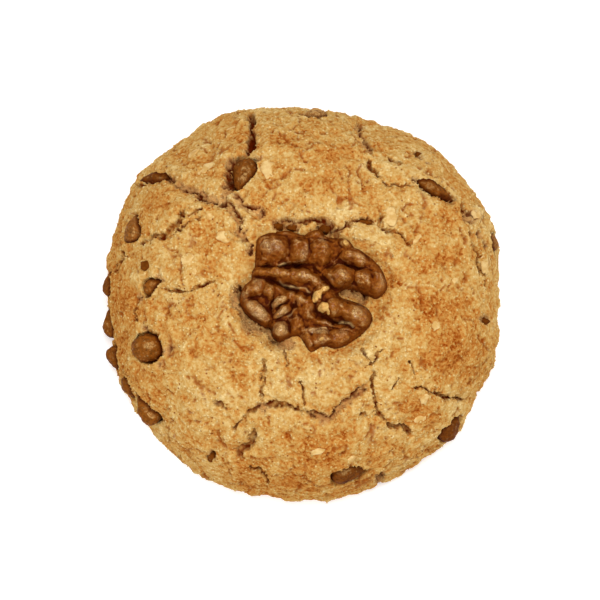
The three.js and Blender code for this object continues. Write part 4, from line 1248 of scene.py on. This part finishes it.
def crack_relief(points, depth_share):
    """How far cracks, hollows and lips move the crust out and up, with masks of floors and of the painted
    shade in gaps.
    """
    x, y = torn_places(points)
    patchy = np.clip(0.5 + 0.8 * noise(points, 2.2, 5), 0, 1)
    spots = np.clip(0.5 + 1.1 * noise(points, 1.0, 6), 0, 1)
    broken = np.clip(0.6 + 0.9 * noise(points, 1.1, 8), 0, 1)
    move, rise, floor, gap, sag, dark = (np.zeros(len(points)) for _ in range(6))
    for width, depth, lip, drop, path in CRACKS:
        away, share, side = path_distance(x, y, path)
        taper = smooth(share, 0, CRACK_END_SHARE) * smooth(share, 1, 1 - CRACK_END_SHARE)
        half = 0.5 * width * (0.3 + 0.7 * taper) * (0.5 + 0.9 * patchy)
        cut = 1 - smooth(away, half - 0.1, half + 0.14)
        valley = smooth(width, 0.9, 1.5)
        shade = smooth(depth, 1.9, 3.0)
        # A painted shadow line along one wall of a crack.
        line = np.exp(-(((away * np.sign(side) - 0.5 * half) / 0.32) ** 2)) * smooth(spots, 0.1, 0.4)
        reach = taper * (0.6 + 0.4 * patchy) * (1 - 0.5 * valley * (1 - line))
        gap = np.maximum(gap, cut * reach * depth * depth_share)
        sag = np.maximum(sag, 0.3 * width * taper * (1 - smooth(away, half, half + 0.5 + 0.8 * width)))
        floor = np.maximum(floor, valley * taper * (1 - smooth(away, half - 0.1, half + 0.3)))
        # Painted shade: narrow cracks are darkened where noise lets them, wide ones along the shadow line and
        # where deep.
        open_share = (1 - valley) * broken + valley * np.maximum(line, shade)
        dark = np.maximum(dark, cut * taper * open_share)
        edge = np.exp(-(((away - half - LIP_PLACE) / LIP_WIDTH) ** 2)) * taper
        slope = np.exp(-away / STEP_REACH) * taper
        move += lip * edge
        rise += 0.5 * drop * slope * np.tanh(away * side / STEP_EDGE)
    for px, py, radius, depth in HOLLOWS:
        away = np.hypot(x - px, y - py)
        if depth > 0:
            gap = np.maximum(gap, depth * (1 - smooth(away, 0.4 * radius, radius)))
            floor = np.maximum(floor, 1 - smooth(away, 0.7 * radius, 1.1 * radius))
        else:
            move -= depth * (1 - smooth(away, 0.1 * radius, radius))
    move += floor * (0.5 * noise(points, 1.0, 7) + 0.25 * noise(points, 0.5, 27))
    return move - gap - sag, rise, floor, dark


def creases(points):
    """Short hairline cracks where the crust has pulled apart: how deep a corner lies in one, from 0 to 1."""
    jagged = points + 0.3 * np.stack([noise(points, 0.9, seed) for seed in (31, 32, 33)], 1)
    total = np.zeros(len(points))
    for size, thin, seed in ((9.0, 0.035, 34), (5.5, 0.055, 36), (3.6, 0.08, 38)):
        line = 1 - smooth(np.abs(noise(jagged, size, seed)), 0.2 * thin, thin)
        total = np.maximum(total, line * smooth(noise(points, 0.8 * size, seed + 1), 0.12, 0.3))
    return total


def seat_relief(points, normals, chips):
    """Seats the walnut and the chips: how far the dough drops in Z, sinks or must cover, how near each is,
    and where the crust is drawn back from the chips."""
    outside = -walnut_depth(points)
    outside += 0.2 * noise(points, 1.2, 9)
    bottom = WALNUT_PLACE[2] + WALNUT_FOOT - WALNUT_GAP
    snug = 0.9 - 0.8 * smooth(noise(points, 4.0, 17), 0.2, 0.6)
    lower = np.maximum(0, points[:, 2] - bottom) * (1 - smooth(outside + snug, -0.6, 0.1))
    cover, sunk = np.full(len(points), -FAR), np.zeros(len(points))
    chip_near = np.full(len(points), FAR)
    drawn = smooth(noise(points, 3.0, 16), 0.05, 0.4)
    lap = -0.8 + 1.1 * np.maximum(0, noise(points, 2.0, 14)) + 0.15 * noise(points, 0.7, 15) - 1.4 * drawn
    x, y = torn_places(points)
    for name, (chip_points, chip_faces) in chips.items():
        middle = chip_points.mean(axis=0)
        tree = BVHTree.FromPolygons(chip_points.tolist(), chip_faces)
        over = lap + CHIP_LAPS.get(name, 0.0)
        if name in CHIP_SLITS:
            half, path = CHIP_SLITS[name]
            over += SLIT_LAP * smooth(path_distance(x, y, path)[0], half, half + SLIT_EDGE)
        pit = lower if name in CHIP_WELLS else sunk
        for i in np.nonzero(np.linalg.norm(points - middle, axis=1) < CHIP_REACH)[0]:
            place = Vector(points[i])
            outward = UP if name in CHIP_WELLS else Vector(normals[i])
            crown = tree.ray_cast(place + outward * RAY_REACH, -outward)
            chip_near[i] = min(chip_near[i], tree.find_nearest(place)[3])
            if crown[0] is None:
                continue
            proud = RAY_REACH - crown[3]
            if proud > over[i]:
                keel = tree.ray_cast(place - outward * RAY_REACH, outward)
                pit[i] = max(pit[i], RAY_REACH - keel[3] + PIT_GAP)
                chip_near[i] = 0.0
            elif proud > -COVER_DEPTH:
                cover[i] = max(cover[i], proud + COVER_THICKNESS)
    return lower, sunk, cover, outside, chip_near, drawn


def chip_names():
    """The CAD nodes of the chips, in order."""
    return sorted(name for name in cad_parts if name.startswith("chip"))


def crust_grid(crust, chips):
    """The dough's grid, finer at seats and cracks: shares of the profile, angles, faces and the rim."""
    along, angle, faces, rim = ring_grid(CRUST_RINGS)
    points, _ = crust.at(along, angle)
    marked = near_cracks(points, CRACK_MARGIN, ANY_WIDTH) | (np.abs(walnut_depth(points)) < WALNUT_SEAT)
    for chip_points, _ in chips.values():
        marked |= np.linalg.norm(points - chip_points.mean(axis=0), axis=1) < CHIP_SEAT
    along, angle, faces = refined(along, angle, faces, marked & (along < PLAIN_SHARE))
    points, _ = crust.at(along, angle)
    marked = near_cracks(points, THIN_MARGIN, THIN_WIDTH)
    along, angle, faces = refined(along, angle, faces, marked & (along < PLAIN_SHARE))
    return along, angle, faces, rim


def toasting(x, y):
    """How dark the baked patches, with the painted shade among them, are at places in plan, from 0 to 1."""
    toast_and_shade = np.zeros(len(x))
    for px, py, radius, strength in TOASTED:
        toast_and_shade = np.maximum(toast_and_shade, strength * np.exp(-((np.hypot(x - px, y - py) / radius) ** 2)))
    return toast_and_shade


class COOKIE_OT_dough(bpy.types.Operator):
    """Bakes the dough: its domed crust with cracks, lips, hollows and crumb."""

    bl_idname = "cookie.dough"
    bl_label = "Baked Dough"

    def execute(self, context):
        settings = context.scene.cookie_dough
        crust = Crust(settings.radius / MM, settings.height / MM)
        chips = {name: merged_node(name) for name in chip_names()}
        along, angle, faces, rim = crust_grid(crust, chips)
        points, normals = crust.at(along, angle)
        smooth_points = points.copy()
        move, rise, floor, dark = crack_relief(points, settings.crack_share)
        wall = smooth(along, *WALL_STARTS)
        foot = 1 - smooth(along, *FOOT_FADES)
        move += foot * (0.4 * noise(points, 3.2, 11) + 0.3 * noise(points, 1.7, 12))
        move += wall * foot * (0.5 * noise(points * [1, 1, 2.2], 3.4, 13))
        lower, sunk, cover, outside, chip_near, drawn = seat_relief(points, normals, chips)
        moat = (1 - smooth(chip_near, 0.15, 0.8)) * drawn
        move -= MOAT_DEPTH * moat
        # Painted shade in the moat round a chip.
        dark = np.maximum(dark, 0.9 * smooth(moat, 0.2, 0.6))
        patchy = np.clip(0.6 + 0.7 * noise(points, 3.5, 18), 0, 1)
        move -= WALNUT_SAG * (1 - smooth(outside, 0.3, 2.6)) * patchy
        crease = creases(points) * foot * smooth(outside, 0.8, 1.6)
        crease = crease * ~near_cracks(points, CREASE_MARGIN, ANY_WIDTH)
        move -= CREASE_DEPTH * crease
        move = np.where(sunk > 0, np.minimum(move, -sunk), np.maximum(move, cover))
        points = points + normals * move[:, None]
        points[:, 2] += np.where(sunk + lower > 0, 0.0, rise) - lower
        points[:, 2] = np.maximum(points[:, 2], 0.0)
        points[rim, 2] = 0.0
        edges = mesh_edges(faces)
        height = ((points - smooth_points) * normals).sum(axis=1)
        small, wide = (averaged(height, edges, len(points), rounds) - height for rounds in CRUST_ROUNDS)
        # Painted shade in small and wide hollows, on crack floors and in the dark gaps of cracks and moats.
        hollow = smooth(small, 0.15, 0.7) * (0.25 + 0.6 * floor) + smooth(wide, 0.9, 2.6) * 0.3 + dark
        # Painted shade and light: the crust is darker in wide hollows and in a ring round the walnut, and
        # paler on rises.
        toast_and_shade = np.clip(toasting(points[:, 0], points[:, 1]) + 0.35 * smooth(wide, 0.05, 0.5), 0, 1)
        pale = smooth(outside, 1.5, 4.0) - smooth(outside, 4.0, 9.0) + smooth(wide, -0.05, -0.4)
        toast_and_shade = np.maximum(toast_and_shade, 0.5 * (1 - smooth(outside, 0.5, 3.0)))
        strew = np.clip((0.3 + 0.12 * pale) * (1 - 0.5 * toast_and_shade) + floor, 0, 1) * smooth(outside, 0.3, 0.8)
        strew = strew * smooth(chip_near, 0.1, 0.6) * foot * smooth(dark, 0.6, 0.2)
        values = {
            "rough": foot * smooth(outside, 0.0, 0.5) * smooth(chip_near, 0.0, 0.4),
            "toast_and_shade": toast_and_shade, "pale": pale, "floor": np.clip(floor, 0, 1), "hollow": np.clip(hollow, 0, 1),
            "crease": crease, "strew": strew,
        }
        middle = len(points)
        points = np.vstack([points, [[0.0, 0.0, 0.0]]])
        values = {key: np.append(numbers, 0.0) for key, numbers in values.items()}
        base = [(middle, int(b), int(a)) for a, b in zip(rim, np.roll(rim, -1))]
        piece = make_mesh("dough_crust", points, np.vstack([faces, base]), values)
        run_tree(piece, crumb_relief_tree(), {
            "Grain Size": settings.grain_size, "Grain Height": settings.grain_height,
            "Material": crust_material(settings),
        })
        finish_piece(piece, ["dough"])
        return {"FINISHED"}


def kernel_grid():
    """The kernel's plan as a fine grid of triangles inside its outline, with the sides along its edge."""
    ring = walnut_ring()
    low, high = ring.min(axis=0) - WALNUT_STEP, ring.max(axis=0) + WALNUT_STEP
    columns, rows = np.ceil((high - low) / WALNUT_STEP).astype(int) + 1
    across = low[0] + WALNUT_STEP * np.arange(columns)
    upward = low[1] + WALNUT_STEP * np.arange(rows)
    x, y = np.meshgrid(across, upward, indexing="ij")
    within = ring_depth(x.ravel(), y.ravel(), ring).reshape(x.shape) > OUTLINE_MARGIN
    cells = np.argwhere(within[:-1, :-1] & within[1:, :-1] & within[:-1, 1:] & within[1:, 1:])
    a = cells[:, 0] * rows + cells[:, 1]
    faces = np.vstack([np.stack([a, a + rows, a + rows + 1], 1), np.stack([a, a + rows + 1, a + 1], 1)])
    used, faces = np.unique(faces, return_inverse=True)
    faces = faces.reshape(-1, 3)
    known = set(map(tuple, face_sides(faces).tolist()))
    border = [(p, q) for p, q in known if (q, p) not in known]
    return x.ravel()[used], y.ravel()[used], faces, sorted(border)


class COOKIE_OT_walnut(bpy.types.Operator):
    """Carves the walnut half: rounded lobes, deep grooves, thin skins and a torn pale neck."""

    bl_idname = "cookie.walnut"
    bl_label = "Walnut Half"

    def execute(self, context):
        settings = context.scene.cookie_walnut
        x, y, faces, border = kernel_grid()
        height, skin, flesh, depth = walnut_surface(x, y)
        count = len(x)
        top = np.stack([x, y, height], 1)
        wrinkle = settings.wrinkle / MM
        ridges = 0.9 * (0.4 - np.abs(noise(top, 1.6, 21))) + 0.55 * noise(top, 0.95, 23)
        ridges = ridges + 0.4 * noise(top, 0.5, 22)
        top[:, 2] += wrinkle * ridges * smooth(height, WALNUT_RIM, 0.5)
        edges = mesh_edges(faces)
        level = top[:, 2].copy()
        tiny, small, wide = (averaged(level, edges, count, rounds) - level for rounds in KERNEL_ROUNDS)
        # Darker skin and painted shade in the grooves, from how far each corner lies below its neighbours.
        groove = np.clip(smooth(small, 0.02, 0.14) * 0.4 + smooth(wide, -0.1, 0.8) * 0.8, 0, 1)
        groove *= 0.3 + 0.7 * smooth(depth, 0.2, 1.2)
        # Ridges: where the lobes are painted a lighter amber as a highlight, and where the coat shines.
        ridge = np.clip(smooth(-small, 0.0, 0.06) * 0.3 + smooth(-wide, 0.1, 0.8) * 0.9, 0, 1)
        ridge = ridge * smooth(depth, 0.0, 1.0)
        # Painted highlight: glints on tiny crests and the listed sheen spots.
        crests = smooth(-tiny, 0.005, 0.03) * smooth(noise(top, 1.7, 25), -0.1, 0.5)
        sheen = domes(x, y, WALNUT_SHEEN) * (0.75 + 0.7 * noise(top, 1.1, 24))
        sheen = np.clip(sheen + (0.15 + 0.4 * ridge) * crests, 0, 1) * smooth(groove, 0.8, 0.3)
        foot = np.stack([x, y, np.full(count, WALNUT_FOOT)], 1)
        edge = np.unique(np.array(border))
        top[edge, 2] = np.minimum(top[edge, 2], WALNUT_RIM)
        points = np.vstack([top, foot]) * WALNUT_STRETCH + WALNUT_PLACE
        walls = [(q, p, p + count) for p, q in border] + [(q, p + count, q + count) for p, q in border]
        solid = faces.tolist() + (faces[:, ::-1] + count).tolist() + walls
        values = {"groove": groove, "skin": skin, "sheen": sheen, "flesh": flesh, "ridge": ridge}
        under = {"groove": UNDERSIDE_GROOVE}
        for key, numbers in values.items():
            values[key] = np.append(numbers, np.full(count, under.get(key, 0.0)))
        piece = make_mesh("walnut_kernel", points, solid, values)
        piece.data.materials.append(walnut_material(settings))
        finish_piece(piece, ["walnut_half"])
        return {"FINISHED"}


class COOKIE_OT_chips(bpy.types.Operator):
    """Rounds the chocolate chips, and adds the bits of chocolate that show in the hollows."""

    bl_idname = "cookie.chips"
    bl_label = "Chocolate Chips"

    def execute(self, context):
        chocolate = chocolate_material(context.scene.cookie_chips)
        crust = crust_tree()
        for order, name in enumerate(chip_names()):
            points, faces = merged_node(name)
            piece = make_mesh(name + "_drop", points, faces)
            rounding = piece.modifiers.new("Rounding", "SUBSURF")
            rounding.levels = rounding.render_levels = ROUNDING_LEVELS
            settle(piece)
            points = np.array([corner.co for corner in piece.data.vertices]) / MM
            normals = np.array([corner.normal for corner in piece.data.vertices])
            dents = 0.22 * noise(points, 2.2, 40 + order) + 0.2 * noise(points, 1.1, 60 + order)
            if name in CHIP_WELLS:
                dents += 0.55 * noise(points, 3.6, 120 + order)
            points += normals * (dents + 0.07 * noise(points, 0.55, 80 + order))[:, None]
            piece.data.vertices.foreach_set("co", (points * MM).ravel())
            away = np.array([crust.find_nearest(Vector(point * MM))[3] for point in points]) / MM
            away *= [crust.ray_cast(Vector(point) * MM + UP * RAY_LIFT, UP)[0] is None for point in points]
            piece.data.update()
            facing = np.array([corner.normal.z for corner in piece.data.vertices])
            # Painted highlight: bare spots that face up are painted pale.
            crown = smooth(facing, 0.9, 0.99) * smooth(away, 0.4, 1.2)
            crown = crown * np.clip(0.7 + noise(points, 1.3, 100 + order), 0, 1)
            shade = SHADED_CHIPS.get(name, 0.0)
            # Painted shade: darker where the chip nears the crust, and on chips that lie deep.
            edge = shade + (FULL_SHADE - shade) * smooth(away, 1.0, 0.15)
            dust_and_highlight = DUSTY_CHIPS.get(name, PLAIN_DUST) + crown
            keep_values(piece.data, {"dust_and_highlight": np.clip(dust_and_highlight, 0, 1), "edge": np.clip(edge, 0, 1)})
            piece.data.materials.append(chocolate)
            finish_piece(piece, [name])
        self.add_bits(crust, chocolate)
        return {"FINISHED"}

    def add_bits(self, crust, chocolate):
        """Sets the small bits of chocolate into the crust."""
        work = bmesh.new()
        for x, y, along, across in CHOCOLATE_BITS:
            spot = crust_spot(crust, x, y)
            made = bmesh.ops.create_icosphere(work, subdivisions=ROUNDING_LEVELS, radius=1.0)
            for corner in made["verts"]:
                size = 1 + 0.12 * math.sin(3 * corner.co.x + 5 * corner.co.y + x)
                reach = Vector((corner.co.x * along, corner.co.y * across, corner.co.z * BIT_HEIGHT))
                corner.co = spot + reach * size * MM
        piece = make_strewn("chocolate_bits", work, chocolate)
        # The small bits are painted in shade.
        keep_values(piece.data, {"edge": np.full(len(piece.data.vertices), BIT_SHADE)})
        finish_piece(piece)


class COOKIE_OT_flakes(bpy.types.Operator):
    """Lays the nut flakes on the crust."""

    bl_idname = "cookie.flakes"
    bl_label = "Nut Flakes"

    def execute(self, context):
        crust = crust_tree()
        work = bmesh.new()
        for order, (x, y, heading, length, width) in enumerate(FLAKES):
            spot = crust_spot(crust, x, y)
            faces_near = crust.find_nearest_range(spot, 0.5 * length * MM)
            normal = sum((near[1] for near in faces_near), Vector((0, 0, 0.001))).normalized()
            turn = math.radians(heading)
            lengthwise = Vector((math.cos(turn), math.sin(turn), 0))
            lengthwise = (lengthwise - normal * lengthwise.dot(normal)).normalized()
            sideways = normal.cross(lengthwise)
            made = bmesh.ops.create_icosphere(work, subdivisions=ROUNDING_LEVELS, radius=1.0)
            for corner in made["verts"]:
                u, v, w = corner.co
                around = math.atan2(v, u)
                ragged = 1 + 0.14 * math.sin(2.3 * around + order) + 0.08 * math.sin(5 * around + 2.1 * order)
                flat = math.copysign(abs(w) ** 0.6, w) * FLAKE_HEIGHT
                reach = lengthwise * (u * ragged * length / 2) + sideways * (v * ragged * width / 2)
                corner.co = spot + (reach + normal * (flat - FLAKE_SUNK)) * MM
        piece = make_strewn("nut_flakes", work, flake_material(context.scene.cookie_dough))
        finish_piece(piece)
        return {"FINISHED"}


class COOKIE_OT_crumbs(bpy.types.Operator):
    """Strews loose crumbs over the crust."""

    bl_idname = "cookie.crumbs"
    bl_label = "Crumbs"

    def execute(self, context):
        settings = context.scene.cookie_crumbs
        piece = add_object("crumbs", bpy.data.objects["dough_crust"].data.copy())
        run_tree(piece, crumb_scatter_tree(), {
            "Spacing": settings.spacing, "Size": settings.size, "Seed": settings.seed,
            "Material": bpy.data.materials["golden_crust"],
        })
        if not piece.data.polygons:
            raise RuntimeError("no crumbs were strewn")
        piece.data.shade_smooth()
        finish_piece(piece)
        return {"FINISHED"}


class COOKIE_OT_stage(bpy.types.Operator):
    """Sets the pale floor, the soft light and the camera."""

    bl_idname = "cookie.stage"
    bl_label = "Stage"

    def execute(self, context):
        settings = context.scene.cookie_stage
        self.add_floor()
        aim = Vector((0, 0, settings.aim_height))
        self.add_surround(context, settings.sky)
        for name, (heading, height, share, width) in LAMPS.items():
            flat, rise = math.cos(math.radians(height)), math.sin(math.radians(height))
            turn = math.radians(heading)
            place = aim + LAMP_DISTANCE * Vector((flat * math.cos(turn), flat * math.sin(turn), rise))
            self.add_lamp(name, place, share * settings.lamp_power, width, aim)
        camera = bpy.data.cameras.new("camera")
        camera.lens = settings.lens
        camera.sensor_width = SENSOR_WIDTH
        camera.clip_start, camera.clip_end = CLIP_RANGE
        eye = add_object("camera", camera)
        back = Vector((0, -math.cos(settings.elevation), math.sin(settings.elevation)))
        eye.location = aim + back * settings.distance
        eye.rotation_euler = back.to_track_quat("Z", "Y").to_euler()
        context.scene.camera = eye
        context.scene.view_settings.view_transform = "Standard"
        return {"FINISHED"}

    def add_surround(self, context, strength):
        """An even light all round, which the camera sees as white."""
        world = bpy.data.worlds.new("white_surround")
        world.use_nodes = True
        wires = Wiring(world.node_tree)
        seen = wires.node("ShaderNodeLightPath").outputs["Is Camera Ray"]
        background = world.node_tree.nodes["Background"].inputs
        background["Color"].default_value = (1, 1, 1, 1)
        wires.feed(background["Strength"], wires.between(seen, 0.0, 1.0, strength, 1.0))
        context.scene.world = world

    def add_lamp(self, name, place, power, width, aim):
        """A round soft lamp that points at the cookie."""
        lamp = bpy.data.lights.new(name, "AREA")
        lamp.shape = "DISK"
        lamp.size = width
        lamp.energy = power
        lit = add_object(name, lamp)
        lit.location = place
        lit.rotation_euler = (aim - place).to_track_quat("-Z", "Y").to_euler()

    def add_floor(self):
        """A wide pale floor with a faint glow."""
        material, wires, shader, vector = new_material("pale_floor")
        tint = wires.noise(vector, 40.0, 2.0, 0.5)
        wires.feed(shader["Base Color"], wires.mix(tint, (0.9, 0.9, 0.9, 1), (0.92, 0.92, 0.92, 1)))
        shader["Roughness"].default_value = 0.9
        shader["Emission Color"].default_value = (1, 1, 1, 1)
        shader["Emission Strength"].default_value = FLOOR_GLOW
        mesh = bpy.data.meshes.new("floor")
        corners = [(x * FLOOR_HALF, y * FLOOR_HALF, 0) for x, y in ((-1, -1), (1, -1), (1, 1), (-1, 1))]
        mesh.from_pydata(corners, [], [(0, 1, 2, 3)])
        mesh.materials.append(material)
        floor = add_object("floor", mesh)


class COOKIE_PT_panel(bpy.types.Panel):
    """Lists the cookie's pieces."""

    bl_idname = "COOKIE_PT_panel"
    bl_label = "Nut Cookie"
    bl_space_type = "VIEW_3D"
    bl_region_type = "UI"
    bl_category = "Cookie"

    def draw(self, context):
        for operator in OPERATORS:
            self.layout.operator(operator.bl_idname)


OPERATORS = (
    COOKIE_OT_dough, COOKIE_OT_walnut, COOKIE_OT_chips, COOKIE_OT_flakes, COOKIE_OT_crumbs, COOKIE_OT_stage,
)
SETTINGS = {
    "cookie_dough": DoughSettings, "cookie_walnut": WalnutSettings, "cookie_chips": ChipSettings,
    "cookie_crumbs": CrumbSettings, "cookie_stage": StageSettings,
}


def register():
    for group in SETTINGS.values():
        bpy.utils.register_class(group)
    for operator in OPERATORS:
        bpy.utils.register_class(operator)
    bpy.utils.register_class(COOKIE_PT_panel)
    for name, group in SETTINGS.items():
        setattr(bpy.types.Scene, name, bpy.props.PointerProperty(type=group))


def unregister():
    for name in SETTINGS:
        delattr(bpy.types.Scene, name)
    bpy.utils.unregister_class(COOKIE_PT_panel)
    for operator in reversed(OPERATORS):
        bpy.utils.unregister_class(operator)
    for group in reversed(list(SETTINGS.values())):
        bpy.utils.unregister_class(group)


def main():
    register()
    bpy.ops.cookie.dough()
    bpy.ops.cookie.walnut()
    bpy.ops.cookie.chips()
    bpy.ops.cookie.flakes()
    bpy.ops.cookie.crumbs()
    bpy.ops.cookie.stage()
    bpy.context.view_layer.update()


if __name__ == "__main__":
    main()
